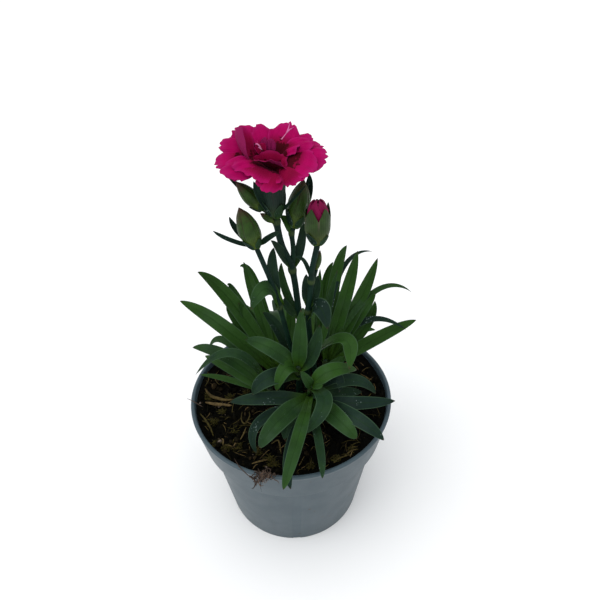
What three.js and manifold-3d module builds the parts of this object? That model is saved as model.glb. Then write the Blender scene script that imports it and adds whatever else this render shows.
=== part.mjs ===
// A potted dianthus: one nursery pot, its soil, leafy shoots, three flower
// stems with buds, and one open double bloom.
// Millimetres, +Z up. The origin is the middle of the pot's flat base.

import * as THREE from 'three';
import { mergeVertices } from 'three/addons/utils/BufferGeometryUtils.js';
import Module from 'manifold-3d';

// ---------------------------------------------------------------- dimensions

const RIM_RADIUS = 52.5;
const POT_HEIGHT = 80;
const BASE_RADIUS = 38;
const COLLAR_HEIGHT = 20;
const COLLAR_STEP = 3;
const COLLAR_TAPER = 3.5;
const COLLAR_RADIUS = RIM_RADIUS - COLLAR_TAPER;
const COLLAR_FOOT = POT_HEIGHT - COLLAR_HEIGHT;
const POT_WALL = 1.4;
const POT_FLOOR = 2.5;
const LIP_WIDTH = 2.2;
const LIP_ROUND = 0.8;
const POT_SIDES = 40;

const DRAIN_HOLES = 6;
const DRAIN_RADIUS = 3.5;
const DRAIN_CIRCLE = 24;
const GROOVE_WIDTH = 4;
const GROOVE_DEPTH = 1;

const GAP = 0.3;
const SOIL_TOP = 75.4;
const SOIL_RADIUS = 49.8;
const SOIL_BANK = 2.6;
const BANK_RADIUS = 42;
const SOIL_DISH = 0.9;
const SOIL_LUMP = 0.55;

const STEM_FOOT = 67;
const HOLE_FLOOR = 66.5;
const STEM_CLEAR = 79;
const SHOOT_RADIUS = 1.4;
const STEM_RADII = { main: 1.6, left: 1.25, right: 1.4 };
const STEM_SIDES = 6;
const BUD_SIDES = 8;

const LEAF_EDGE = 0.6;
const LEAF_KEEL = 1.0;
const KEELED_FROM = 6.8;
const LEAF_FOLD = 0.16;
const LEAF_STATIONS = [0, 0.28, 0.55, 0.8, 1];
const SCALE_STATIONS = [0, 0.35, 0.75, 1];
const PETAL_THICKNESS = 0.6;
const PETAL_ROWS = [[0, 2], [0.4, 3], [0.75, 4], [1, 9]];
const PETAL_ROUNDING = 0.26;
const PETAL_TOOTH = 0.045;
const PETAL_RUFFLE = 0.9;
const PETAL_DROOP = 0.6;

// Blades turn their upper face towards this direction, by this much of their
// own curve and the rest by their chord.
const LIGHT = new THREE.Vector3(0, -0.55, 0.84).normalize();
const TWIST = 0.7;

// ------------------------------------------------------- shoots, hand placed
// A leaf is [height on its stem, middle point, tip, width], and the direction its
// upper face turns to where that is not the light.

const SHOOTS = {
  front_shoot: {
    foot: [9, -12],
    top: [10, -15, 100],
    leaves: [
      [93, [1, -50, 100], [-5, -64.5, 91], 6.2],
      [91, [-6, -35, 99], [-15, -44, 92], 9],
      [89, [-12, -15, 92], [-31, -11, 86], 7],
      [90, [21, -32, 95], [29, -40, 90], 9],
      [88, [28, -32, 96], [41, -43, 92], 7.5],
      [86, [31, -18, 89], [52, -15, 86], 7],
      [93, [30, -9, 96], [43, -10, 86], 6.5],
      [98, [19, -14, 108], [33, -7, 101], 8],
      [96, [19, -8, 102], [28, 3, 101], 6.5],
      [99, [8, -17, 105], [5, -16, 111], 5],
      [99, [13, -19, 103], [15, -21, 106], 3],
      [97, [15, -28, 101], [4.6, -36.6, 90.4], 8],
      [85, [12, -42, 89], [12.2, -55, 83], 4.2],
      [84, [-15, -28, 91], [-17, -39, 81], 5],
      [85, [-1.2, -44, 89.5], [-1.7, -60, 84], 6],
      [94, [22, -10, 99], [24, -13, 92], 6],
      [89, [24, -12, 90], [36, -9, 87], 6],
      [86, [0, -26, 90], [-4, -35, 85], 7],
      [90, [11.5, -18.5, 96.5], [14.4, -21.5, 97.8], 3.4],
      [90, [8.6, -16.5, 95], [8.8, -18, 99], 2.4],
    ],
  },
  rosette_shoot: {
    foot: [4, -4],
    top: [4, -8, 107],
    leaves: [
      [104, [-8, -9, 119], [-21, 0, 118], 8],
      [102, [-2, -14, 111], [-7, -17, 99], 7.5],
      [106, [5, -9, 121], [6, -5, 139], 7.5],
      [103, [11, -9, 116], [14, -8, 132], 7.5],
      [98, [-10, -14, 105], [-19, -14, 94], 8.5],
      [104, [16.6, -3, 122], [14, 2.5, 129.5], 3.6],
      [103, [25, -4, 118.5], [28, -14, 108.5], 10.5, [-0.38, 0.32, 0.87]],
    ],
  },
  left_shoot: {
    foot: [-5, 5],
    top: [-6, 6, 91],
    leaves: [
      [86, [-31, 8, 118], [-52, 13, 133], 8],
      [88, [-26, 14, 128], [-41, 12, 150], 8],
      [85, [-22, 12, 112], [-30, 13, 128], 6],
      [90, [-16, 30, 126], [-23, 30, 140], 6],
      [89, [-15, 17, 125], [-20, 19, 150], 6],
      [90, [-17, 14, 113], [-24, 13, 130], 8],
      [88, [-25, 32, 116], [-31, 35, 125], 4],
      [89, [1.2, 14, 113], [-1, 17, 137.5], 5.5],
    ],
  },
  low_left_shoot: {
    foot: [-11, -3],
    top: [-11, -3, 87],
    leaves: [
      [85, [-32, 6, 101], [-50, 12, 103], 7],
      [86, [-27, -1, 110], [-49, 3, 92], 4.8],
      [84, [-31, 13, 104], [-43, 19, 95], 4.5],
      [83, [-28, 5, 92], [-46, 19, 90], 7.5],
      [82, [-31, 3, 87], [-48, 8, 87], 3.4],
    ],
  },
  right_shoot: {
    foot: [19, 11],
    top: [19, 12, 91],
    leaves: [
      [90, [24, 25, 130], [30, 27, 152], 6.5],
      [89, [29, 21, 122], [35, 25, 150], 7.5],
      [88, [35, 20, 118], [45, 24, 146], 7.5],
      [87, [36, 18, 112], [44, 17, 130], 5.5],
      [86, [39, 18, 105], [44.6, 20, 122.5], 6.5],
      [90, [19, 26, 122], [24, 31, 140], 5],
      [89, [16.3, 16, 118], [16.2, 16.5, 146], 4.5],
      [88.5, [19.5, 13.5, 118], [24.6, 17, 144.5], 4],
      [90, [26.5, 26, 134.4], [44.3, 35, 142.8], 2.8],
      [87, [41.5, 21, 125], [65, 27, 122], 3.2],
      [85, [46, 11, 105], [64, 9, 118], 7],
      [87, [38.5, 17, 111.2], [58.4, 5, 115.2], 3.6],
    ],
  },
};

// Shoots at the back fan out low behind the others, by a rule.
const BACK_SHOOTS = {
  back_left_shoot: { foot: [-4, 20], from: 84, to: 152, count: 8, phase: 0.4 },
  back_right_shoot: { foot: [12, 23], from: 26, to: 96, count: 9, phase: 3.6 },
};
const BACK_TOP = 90;
const BACK_REACH = 46;
const BACK_REACH_VARIATION = 9;
const BACK_RISE = 9;
const BACK_RISE_VARIATION = 6;
const BACK_DROOP = 7;
const BACK_DROOP_VARIATION = 6;
const BACK_SWING = 3;
const BACK_SWEEP = 5;
const BACK_WIDTH = 6.3;
const BACK_WIDTH_VARIATION = 0.9;

// ------------------------------------------------- flower stems, hand placed

const MAIN_STEM = [[9, 6, 88], [5.4, 6.5, 128], [2.8, 6.5, 153], [-1.6, 6, 167], [-3.6, 5, 181]];
const MAIN_KNOTS = [[6, 6.5, 122], [2.8, 6.5, 153], [-3.2, 5.2, 179], [3, 9, 171]];
const MAIN_BRANCH = [[2.8, 6.5, 153], [3.5, 8, 163], [3, 9, 171], [4.4, 9, 174]];
const MAIN_LEAVES = [
  [[2.8, 6.5, 153], [-2, 4, 164], [-6, 1, 172], 4.5],
  [[2.8, 6.5, 153], [7, 11, 163], [8, 12, 175], 4.5],
  [[6, 6.5, 124], [0, 3, 134], [-1, 3, 140], 4],
  [[6, 7, 121], [-1, 9, 141], [-2, 11, 154], 4],
  [[3, 9, 170.8], [1.5, 8, 176], [-1.8, 8, 179.8], 4.8],
  [[-3.6, 5, 181], [-8.6, 1.2, 190.6], [-11.2, -0.4, 199.6], 4],
  [[-3.6, 5, 181], [3, 0, 190], [9, -2, 198], 1.6],
  [[-8, 4.2, 184], [-17, 4, 195], [-21, 3, 200], 2.4],
  [[4.4, 9, 174], [10, 12, 186], [11, 11, 197], 4.5],
];
const LEFT_STEM = [[5, 1, 88], [-0.5, 0, 119], [-4, -1, 140], [-7.4, -2, 155], [-12, -2.5, 171]];
const LEFT_KNOTS = [[-4, -1, 138], [2, 0.5, 100]];
const LEFT_LEAVES = [
  [[-4, -1, 138], [-9, -6, 152], [-16, -10, 144], 8],
  [[-4, -1, 138], [-6, 3, 154], [-5, 5, 166], 5.5],
  [[2, 0.5, 100], [-5, 4, 120], [-12, 5, 130], 6],
  [[-12, -2.5, 171], [-22, -5, 176.4], [-28.5, -6, 181.7], 2.2],
  [[-11.4, -2.5, 171.6], [-6, -3.4, 176.2], [-2, -5, 179.3], 3],
  [[-12, -2.5, 171], [-19, -1, 178], [-22, -1, 185], 3],
];
const RIGHT_STEM = [[13, 2, 88], [9.6, 0.4, 128], [10.8, -1, 150], [11.3, -2, 159], [13.5, -3, 172]];
const RIGHT_KNOTS = [[9.6, 0.3, 134], [10.8, -1, 152]];
const RIGHT_LEAVES = [
  [[10.8, -1, 152], [8, -1, 162], [4, -2, 165], 2],
  [[9.6, 0.4, 136], [9, 3, 144], [9, 4, 152], 5],
  [[9.6, 0.4, 136], [13, 3, 143], [14, 4, 151], 5],
  [[9.6, 0.3, 129], [14.4, -4, 139], [17.8, -9, 130], 9],
];

const MOUTH = [-4, 4, 200];
const CALYX_TOP = [-4.6, 4, 200];
const CALYX_WIDTH = 12.2;
const BLOOM_CORE_WIDTH = 8.4;
// A bud is [base, tip, width].
const BUDS = {
  behind_left: [[-8.5, 4.4, 184.9], [-18.3, 2, 198.6], 6.4],
  behind_right: [[4.4, 9, 173.5], [8.6, 9, 195.5], 9.6],
  tiny_left: [[-4.4, 3.4, 179.4], [-9.6, 1.2, 184.9], 3],
  left: [[-12, -2.5, 171], [-17.5, -4, 190.5], 8.8],
  right: [[13.4, -3, 172], [13.4, -4, 193.5], 10.6],
  tiny_right: [[13.2, 0, 157], [14.8, 0, 167], 3],
};

// A petal is [middle point, tip, width, ruffle phase, lift of its sides,
// direction that its upper face turns to]; each starts in the core.
const FLAT = [0, -0.15, 1];
const PETALS = [
  [[0.2, 10.5, 210], [3.3, 17.5, 216.1], 12.5, 0, 0.8, LIGHT],
  [[-6.6, 11, 209.6], [-9.4, 17, 215.2], 11, 1.1, 0.6, LIGHT],
  [[-12.4, 11, 209.6], [-19.5, 13, 213.7], 15, 2.3, 0.4, LIGHT],
  [[-13.5, 6.4, 208.4], [-24, 5.8, 210], 14.5, 0.6, 0.2, LIGHT],
  [[-14.5, 2, 206.5], [-25.6, -0.4, 206.2], 15, 2.9, 0, LIGHT],
  [[-12.6, -1, 206.4], [-23.2, -4.6, 205.1], 11, 1.7, 0, LIGHT],
  [[-7.4, -2.8, 205.3], [-10.6, -9.3, 204.4], 18, 0.3, -0.4, [0, -0.38, 1]],
  [[-4.2, -5.4, 204], [-7.4, -12.3, 200.8], 10.6, 2, -0.6, LIGHT],
  [[1.6, -2.8, 204.7], [8.4, -7.8, 203.2], 10.5, 1.3, -0.4, LIGHT],
  [[4.4, -0.8, 206.3], [12, -5.8, 204.7], 16.5, 0.2, -0.6, LIGHT],
  [[7, 3, 206.8], [18, 2.6, 207.2], 12.5, 2.6, -0.2, LIGHT],
  [[6.5, 6.5, 208], [16.8, 7.8, 208.6], 12.5, 0.9, -0.4, LIGHT],
  [[4.6, 8.8, 208.6], [12.4, 12.4, 210.9], 12, 1.9, 0, LIGHT],
  [[-11, 0.4, 206.9], [-18.5, -4.9, 207.2], 7, 0.1, -0.3, FLAT],
  [[4.4, 6, 209.2], [12.8, 7.2, 211.2], 9.5, 0.8, 0.4, LIGHT],
  [[-14, 6.7, 209], [-16.5, 11, 217.4], 9.5, 1.2, 0.4, [0.15, -0.94, 0.32]],
  [[-3.8, -0.2, 206.4], [-3.6, -3.4, 208.3], 13.5, 2.2, 0.3, [0.3, 0.6, 0.75]],
  [[2, 4.8, 209], [7.4, 4.6, 211], 5, 0.5, -0.2, FLAT],
  [[-5.8, 6.5, 209.5], [-6.5, 7.2, 213.8], 3.6, 1.8, 0.6, [0, 0.85, 0.5]],
  [[-3.8, 6.5, 209.3], [-3.7, 7.4, 213.2], 3.6, 0.4, 0.6, [0, 0.85, 0.5]],
  [[-7.5, 5, 209.8], [-8.6, 6.2, 212], 4.5, 2.7, 0.8, LIGHT],
  [[-5.2, 2.6, 206], [-5.2, 4.2, 209.7], 15.5, 1.3, -1.2, [-0.1, -0.75, 0.65]],
  [[-0.6, 1.6, 204.6], [2.4, 0.2, 205.8], 9, 1.6, -0.5, [0.3, -0.75, 0.6]],
];

// ------------------------------------------------------------------ helpers

const wasm = await Module();
wasm.setup();

const point = (values) => new THREE.Vector3(...values);

function toSolid(geometry) {
  const bare = geometry.index ? geometry.toNonIndexed() : geometry.clone();
  bare.deleteAttribute('normal');
  bare.deleteAttribute('uv');
  const merged = mergeVertices(bare, 1e-3);
  const index = Array.from(merged.index.array);
  const kept = [];
  for (let i = 0; i < index.length; i += 3) {
    const [a, b, c] = index.slice(i, i + 3);
    if (a !== b && b !== c && a !== c) kept.push(a, b, c);
  }
  return new wasm.Manifold(new wasm.Mesh({
    numProp: 3,
    vertProperties: new Float32Array(merged.attributes.position.array),
    triVerts: new Uint32Array(kept),
  }));
}

// Joins solids, and drops the crumbs that a join can leave.
function union(solids) {
  const whole = solids.reduce((sum, solid) => sum.add(solid));
  return whole.decompose().sort((a, b) => b.volume() - a.volume())[0];
}

function toMesh(name, solid, color, roughness) {
  const { vertProperties, triVerts } = solid.getMesh();
  const geometry = new THREE.BufferGeometry();
  geometry.setAttribute('position', new THREE.BufferAttribute(vertProperties, 3));
  geometry.setIndex(new THREE.BufferAttribute(triVerts, 1));
  geometry.computeVertexNormals();
  const material = new THREE.MeshStandardMaterial({ color, roughness, metalness: 0 });
  const mesh = new THREE.Mesh(geometry, material);
  mesh.name = name;
  return mesh;
}

function smoothstep(low, high, value) {
  const t = Math.min(1, Math.max(0, (value - low) / (high - low)));
  return t * t * (3 - 2 * t);
}

// Turns a profile of [radius, height] about the Z axis.
function lathe(profile, sides) {
  const outline = profile.map(([radius, height]) => new THREE.Vector2(radius, height));
  return new THREE.LatheGeometry(outline, sides).rotateX(Math.PI / 2);
}

// Turns a profile of [part of the length, part of the half width] about the
// line between two points.
function spindle(from, to, width, profile, sides) {
  const axis = point(to).sub(point(from));
  const length = axis.length();
  const outline = profile.map(([t, r]) => new THREE.Vector2(r * width / 2, t * length));
  const turn = new THREE.Quaternion().setFromUnitVectors(new THREE.Vector3(0, 1, 0), axis.normalize());
  const geometry = new THREE.LatheGeometry(outline, sides).applyQuaternion(turn);
  return toSolid(geometry.translate(...from));
}

function rod(points, radius, steps) {
  const circle = new THREE.Shape();
  circle.absarc(0, 0, radius, 0, Math.PI * 2);
  const path = points.length === 2
    ? new THREE.LineCurve3(...points.map(point))
    : new THREE.CatmullRomCurve3(points.map(point));
  return toSolid(new THREE.ExtrudeGeometry(circle, {
    steps,
    curveSegments: STEM_SIDES / 2,
    bevelEnabled: false,
    extrudePath: path,
  }));
}

// A curve that starts at the base, passes the middle point half way and ends
// at the tip.
function bladeCurve(base, mid, tip) {
  const control = mid.clone().multiplyScalar(2).sub(base.clone().add(tip).multiplyScalar(0.5));
  return new THREE.QuadraticBezierCurve3(base, control, tip);
}

// Side and upward directions of a blade at one place on its curve.
function bladeAxes(curve, t, facing = LIGHT) {
  const chord = curve.v2.clone().sub(curve.v0).normalize();
  const along = curve.getTangent(t);
  const side = chord.lerp(along, TWIST).cross(facing);
  side.addScaledVector(along, -side.dot(along)).normalize();
  return { side, up: side.clone().cross(along) };
}

// Closes two like grids of points, one above and one below, to a thin slab.
// Both are split into triangles alike.
function slab(rows) {
  const positions = [];
  const index = [];
  const starts = [];
  for (const row of rows) {
    starts.push(positions.length / 6);
    for (const { upper, lower } of row) positions.push(...upper, ...lower);
  }
  const at = (row, column, below) => (starts[row] + column) * 2 + below;
  const face = (a, b, c) => {
    index.push(at(...a, 0), at(...b, 0), at(...c, 0));
    index.push(at(...a, 1), at(...c, 1), at(...b, 1));
  };
  for (let r = 0; r < rows.length - 1; r += 1) {
    const near = rows[r].length - 1;
    const far = rows[r + 1].length - 1;
    let i = 0;
    let j = 0;
    while (i < near || j < far) {
      if (j === far || (i < near && (i + 1) / near <= (j + 1) / far)) {
        face([r, i], [r, i + 1], [r + 1, j]);
        i += 1;
      } else {
        face([r, i], [r + 1, j + 1], [r + 1, j]);
        j += 1;
      }
    }
  }
  const last = rows.length - 1;
  const border = rows[0].map((_, column) => [0, column]);
  for (let r = 1; r < last; r += 1) border.push([r, rows[r].length - 1]);
  for (let c = rows[last].length - 1; c >= 0; c -= 1) border.push([last, c]);
  for (let r = last - 1; r > 0; r -= 1) border.push([r, 0]);
  border.forEach((here, n) => {
    const next = border[(n + 1) % border.length];
    index.push(at(...here, 1), at(...next, 1), at(...next, 0));
    index.push(at(...here, 1), at(...next, 0), at(...here, 0));
  });
  const geometry = new THREE.BufferGeometry();
  geometry.setAttribute('position', new THREE.Float32BufferAttribute(positions, 3));
  geometry.setIndex(index);
  return toSolid(geometry);
}

// ------------------------------------------------------------ leaf and petal

function leafWidth(t) {
  return (0.5 + 0.5 * smoothstep(0, 0.35, t)) * (1 - t ** 4) ** 0.8;
}

// A narrow blade, folded a little along its keel.
function leaf(base, mid, tip, width, facing = LIGHT, stations = LEAF_STATIONS) {
  const curve = bladeCurve(point(base), point(mid), point(tip));
  const columns = width < KEELED_FROM ? [-1, 1] : [-1, 0, 1];
  const rows = stations.map((t) => {
    const centre = curve.getPoint(t);
    const { side, up } = bladeAxes(curve, t, facing);
    const half = width / 2 * leafWidth(t);
    const places = t === 1 ? [0] : columns;
    return places.map((across) => {
      const thickness = across === 0 ? LEAF_KEEL : LEAF_EDGE;
      const rise = Math.abs(across) * LEAF_FOLD * half * 2;
      const middle = centre.clone().addScaledVector(side, across * half).addScaledVector(up, rise);
      return {
        upper: middle.clone().addScaledVector(up, thickness / 2),
        lower: middle.clone().addScaledVector(up, -thickness / 2),
      };
    });
  });
  return slab(rows);
}

function petalWidth(t) {
  return 0.22 + 0.78 * smoothstep(0.05, 0.75, t);
}

// A fan with a rounded, toothed and ruffled end.
function petal(base, mid, tip, width, phase, lift, facing) {
  const curve = bladeCurve(point(base), point(mid), point(tip));
  const rows = PETAL_ROWS.map(([t, count], row) => {
    const half = width / 2 * petalWidth(t);
    return Array.from({ length: count }, (_, n) => {
      const across = 2 * n / (count - 1) - 1;
      const tooth = row === PETAL_ROWS.length - 1 && n % 2 === 1 ? PETAL_TOOTH : 0;
      const place = t * (1 - PETAL_ROUNDING * across * across * t) - tooth;
      const { side, up } = bladeAxes(curve, place, facing);
      const ruffle = PETAL_RUFFLE * t * t * Math.sin(phase + across * 3.4);
      const middle = curve.getPoint(place).addScaledVector(side, across * half);
      middle.addScaledVector(up, ruffle + (lift - PETAL_DROOP) * t * across * across);
      return {
        upper: middle.clone().addScaledVector(up, PETAL_THICKNESS / 2),
        lower: middle.clone().addScaledVector(up, -PETAL_THICKNESS / 2),
      };
    });
  });
  return slab(rows);
}

// --------------------------------------------------------------------- parts

function makePot() {
  const shoulder = COLLAR_RADIUS - COLLAR_STEP;
  const inner = RIM_RADIUS - LIP_WIDTH;
  const shell = toSolid(lathe([
    [0, 0],
    [BASE_RADIUS, 0],
    [shoulder, COLLAR_FOOT - 1.5],
    [COLLAR_RADIUS, COLLAR_FOOT],
    [RIM_RADIUS - 0.4, POT_HEIGHT - 2],
    [RIM_RADIUS, POT_HEIGHT - LIP_ROUND],
    [RIM_RADIUS - LIP_ROUND, POT_HEIGHT],
    [inner + LIP_ROUND / 2, POT_HEIGHT],
    [inner, POT_HEIGHT - LIP_ROUND],
    [COLLAR_RADIUS - POT_WALL, COLLAR_FOOT + 1],
    [shoulder - POT_WALL, COLLAR_FOOT - 2.5],
    [BASE_RADIUS - POT_WALL + 0.3, POT_FLOOR],
    [0, POT_FLOOR],
  ], POT_SIDES));
  const cuts = [];
  for (let n = 0; n < DRAIN_HOLES; n += 1) {
    const angle = (n + 0.5) / DRAIN_HOLES * Math.PI * 2;
    const hole = new THREE.CylinderGeometry(DRAIN_RADIUS, DRAIN_RADIUS, POT_FLOOR * 4, 12);
    hole.rotateX(Math.PI / 2);
    hole.translate(DRAIN_CIRCLE * Math.cos(angle), DRAIN_CIRCLE * Math.sin(angle), 0);
    const groove = new THREE.BoxGeometry(BASE_RADIUS, GROOVE_WIDTH, GROOVE_DEPTH * 2);
    groove.translate(DRAIN_CIRCLE + BASE_RADIUS / 2, 0, 0).rotateZ(angle);
    cuts.push(toSolid(hole), toSolid(groove));
  }
  return cuts.reduce((rest, cut) => rest.subtract(cut), shell);
}

function soilHeight(x, y) {
  const lumps = Math.sin(x * 0.31 + 1.3) * Math.sin(y * 0.27 - 0.6) + Math.sin(x * 0.17 - y * 0.23);
  const reach = Math.hypot(x, y);
  const bank = SOIL_BANK * Math.max(0, (reach - BANK_RADIUS) / (SOIL_RADIUS - BANK_RADIUS));
  return SOIL_TOP - SOIL_DISH * reach / RIM_RADIUS + SOIL_LUMP * lumps + bank;
}

function makeSoil(feet) {
  const collarInside = COLLAR_RADIUS - POT_WALL - GAP;
  const wallInside = collarInside - COLLAR_STEP;
  const body = lathe([
    [0, POT_FLOOR + GAP],
    [BASE_RADIUS - POT_WALL, POT_FLOOR + GAP],
    [wallInside, COLLAR_FOOT - 2.5],
    [collarInside, COLLAR_FOOT + 1],
    [SOIL_RADIUS, SOIL_TOP],
    [BANK_RADIUS, SOIL_TOP],
    [32, SOIL_TOP],
    [20, SOIL_TOP],
    [0, SOIL_TOP],
  ], POT_SIDES);
  const vertices = body.attributes.position;
  for (let n = 0; n < vertices.count; n += 1) {
    if (vertices.getZ(n) > SOIL_TOP - 1e-3) {
      vertices.setZ(n, soilHeight(vertices.getX(n), vertices.getY(n)));
    }
  }
  const holes = feet.map(([x, y, radius]) => {
    const height = POT_HEIGHT - HOLE_FLOOR;
    const wide = (radius + GAP) / Math.cos(Math.PI / STEM_SIDES);
    const hole = new THREE.CylinderGeometry(wide, wide, height, STEM_SIDES);
    return toSolid(hole.rotateX(Math.PI / 2).translate(x, y, HOLE_FLOOR + height / 2));
  });
  return holes.reduce((rest, hole) => rest.subtract(hole), toSolid(body));
}

// A short leafy stem, standing straight where it leaves the soil.
function stemCentre(foot, top, height) {
  const t = Math.max(0, (height - STEM_CLEAR) / (top[2] - STEM_CLEAR));
  return [foot[0] + (top[0] - foot[0]) * t, foot[1] + (top[1] - foot[1]) * t, height];
}

function makeShoot({ foot, top, leaves }) {
  const clear = [...foot, STEM_CLEAR];
  const solids = [
    rod([[...foot, STEM_FOOT], clear], SHOOT_RADIUS, 1),
    rod([[...foot, STEM_CLEAR - 2], top], SHOOT_RADIUS, 1),
  ];
  for (const [height, mid, tip, width, facing] of leaves) {
    const face = facing && new THREE.Vector3(...facing);
    solids.push(leaf(stemCentre(foot, top, height), mid, tip, width, face));
  }
  return union(solids);
}

function backLeaves({ foot, from, to, count, phase }) {
  return Array.from({ length: count }, (_, n) => {
    const wave = (step) => Math.sin(phase + step * n);
    const degrees = from + (to - from) * n / (count - 1) + BACK_SWING * wave(5.3);
    const angle = THREE.MathUtils.degToRad(degrees);
    const turned = angle + THREE.MathUtils.degToRad(BACK_SWEEP * wave(1.7));
    const reach = BACK_REACH + BACK_REACH_VARIATION * wave(2.4);
    const height = BACK_TOP - 6 + 5 * (n % 2);
    const top = height + BACK_RISE + BACK_RISE_VARIATION * wave(4.1);
    const drop = BACK_DROOP + BACK_DROOP_VARIATION * wave(3.3);
    const place = (part, heading, z) => [
      foot[0] + reach * part * Math.cos(heading),
      foot[1] + reach * part * Math.sin(heading),
      z,
    ];
    const width = BACK_WIDTH + BACK_WIDTH_VARIATION * wave(2.9);
    return [height, place(0.52, angle, top), place(1, turned, top - drop), width];
  });
}

const BUD_PROFILE = [
  [0, 0], [0, 0.3], [0.12, 0.66], [0.32, 0.96], [0.52, 1], [0.76, 0.68], [0.93, 0.24], [1, 0],
];

function bud(from, to, width) {
  return spindle(from, to, width, BUD_PROFILE, BUD_SIDES);
}

// Pointed scales that clasp the foot of a bud or calyx.
function scales(from, to, width, count, phase) {
  const start = point(from);
  const axis = point(to).sub(start);
  const side = new THREE.Vector3(1, 0, 0).cross(axis).normalize();
  const front = axis.clone().normalize().cross(side);
  return Array.from({ length: count }, (_, n) => {
    const angle = phase + n / count * Math.PI * 2;
    const out = side.clone().multiplyScalar(Math.cos(angle)).addScaledVector(front, Math.sin(angle));
    const mid = start.clone().addScaledVector(axis, 0.16).addScaledVector(out, width * 0.42);
    const tip = start.clone().addScaledVector(axis, 0.44).addScaledVector(out, width * 0.55);
    return leaf(from, mid.toArray(), tip.toArray(), width * 0.42, LIGHT, SCALE_STATIONS);
  });
}

// A thickened joint of a stem, where leaves grow.
const KNOT_PROFILE = [[0, 0], [0.25, 0.8], [0.65, 1], [1, 0]];
const KNOT_LENGTH = 5;
const KNOT_SWELL = 2.6;

function knot([x, y, z], radius) {
  const low = z - KNOT_LENGTH * 0.65;
  return spindle([x, y, low], [x, y, low + KNOT_LENGTH], radius * KNOT_SWELL, KNOT_PROFILE, STEM_SIDES);
}

function flowerStem(path, leaves, knots, radius) {
  const [x, y] = path[0];
  return [
    rod([[x, y, STEM_FOOT], [x, y, STEM_CLEAR]], radius, 1),
    rod([[x, y, STEM_CLEAR - 2], ...path], radius, 9),
    ...knots.map((place) => knot(place, radius)),
    ...leaves.map(([base, mid, tip, width]) => leaf(base, mid, tip, width)),
  ];
}

const CALYX_PROFILE = [[0, 0], [0, 0.32], [0.12, 0.55], [0.4, 0.78], [1, 1], [1, 0]];
const CORE_PROFILE = [[0, 0], [0, 0.75], [0.55, 1], [0.8, 0.7], [1, 0]];
const CORE_DEPTH = 6;

function bloomCore(extra) {
  const [x, y, z] = MOUTH;
  const from = [x, y + 1, z - CORE_DEPTH - extra];
  return spindle(from, [x, y - 0.6, z + 5], BLOOM_CORE_WIDTH + 2 * extra, CORE_PROFILE, BUD_SIDES + 2);
}

function makeMainStem() {
  const solids = flowerStem(MAIN_STEM, MAIN_LEAVES, MAIN_KNOTS, STEM_RADII.main);
  solids.push(rod(MAIN_BRANCH, STEM_RADII.left, 4));
  solids.push(rod([MAIN_STEM[4], BUDS.behind_left[0]], 1, 1));
  solids.push(bud(...BUDS.behind_left), bud(...BUDS.behind_right), bud(...BUDS.tiny_left));
  solids.push(...scales(...BUDS.behind_right, 4, 0.4));
  solids.push(spindle(MAIN_STEM[4], CALYX_TOP, CALYX_WIDTH, CALYX_PROFILE, BUD_SIDES + 2));
  solids.push(...scales(MAIN_STEM[4], CALYX_TOP, CALYX_WIDTH * 0.9, 4, 0.2));
  return union(solids).subtract(bloomCore(GAP));
}

function makeBloom() {
  const [x, y, z] = MOUTH;
  const solids = [bloomCore(0)];
  for (const [mid, tip, width, phase, lift, facing] of PETALS) {
    const angle = Math.atan2(tip[1] - y, tip[0] - x);
    const base = [x + 1.4 * Math.cos(angle), y + 1.4 * Math.sin(angle), z + 2.4];
    solids.push(petal(base, mid, tip, width, phase, lift, new THREE.Vector3(...facing)));
  }
  return union(solids);
}

function makeLeftStem() {
  const solids = flowerStem(LEFT_STEM, LEFT_LEAVES, LEFT_KNOTS, STEM_RADII.left);
  solids.push(bud(...BUDS.left), ...scales(...BUDS.left, 4, 0.8));
  return union(solids);
}

const CUP_PROFILE = [
  [0, 0], [0, 0.3], [0.12, 0.7], [0.32, 0.97], [0.5, 1], [0.68, 0.98], [0.84, 0.88], [0.84, 0],
];
const BUD_PETAL_PROFILE = [
  [0.3, 0], [0.3, 0.6], [0.5, 0.82], [0.68, 0.82], [0.82, 0.74], [0.93, 0.5], [1, 0.16], [1, 0],
];
const NOTCHES = 5;
const NOTCH_LOW = 0.56;
const NOTCH_HIGH = 0.86;

// Wedges that split the top of a calyx into pointed teeth.
function notches(from, to, width) {
  const start = point(from);
  const axis = point(to).sub(start);
  const side = new THREE.Vector3(1, 0, 0).cross(axis).normalize();
  const front = axis.clone().normalize().cross(side);
  return Array.from({ length: NOTCHES }, (_, n) => {
    const angle = n / NOTCHES * Math.PI * 2;
    const out = side.clone().multiplyScalar(Math.cos(angle)).addScaledVector(front, Math.sin(angle));
    const across = out.clone().cross(axis).normalize();
    const halfTop = width / 2 * Math.sin(Math.PI / NOTCHES);
    const corner = (t, shift, reach) => start.clone().addScaledVector(axis, t)
      .addScaledVector(across, shift).addScaledVector(out, reach);
    const ends = [[NOTCH_LOW, 0], [NOTCH_HIGH, -halfTop], [NOTCH_HIGH, halfTop]];
    const rows = ends.map(([t, shift]) => [corner(t, shift, 0.5), corner(t, shift, width)]);
    const [a, b, c] = rows.map(([inner]) => inner);
    const [d, e, f] = rows.map(([, outer]) => outer);
    return prism([a, b, c], [d, e, f]);
  });
}

function prism([a, b, c], [d, e, f]) {
  const positions = [a, c, b, d, e, f, a, b, e, a, e, d, b, c, f, b, f, e, c, a, d, c, d, f];
  return toSolid(new THREE.BufferGeometry().setFromPoints(positions));
}

function budPetals(extra) {
  const [from, to, width] = BUDS.right;
  return spindle(from, to, width + 2 * extra, BUD_PETAL_PROFILE, BUD_SIDES + 2);
}

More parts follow.
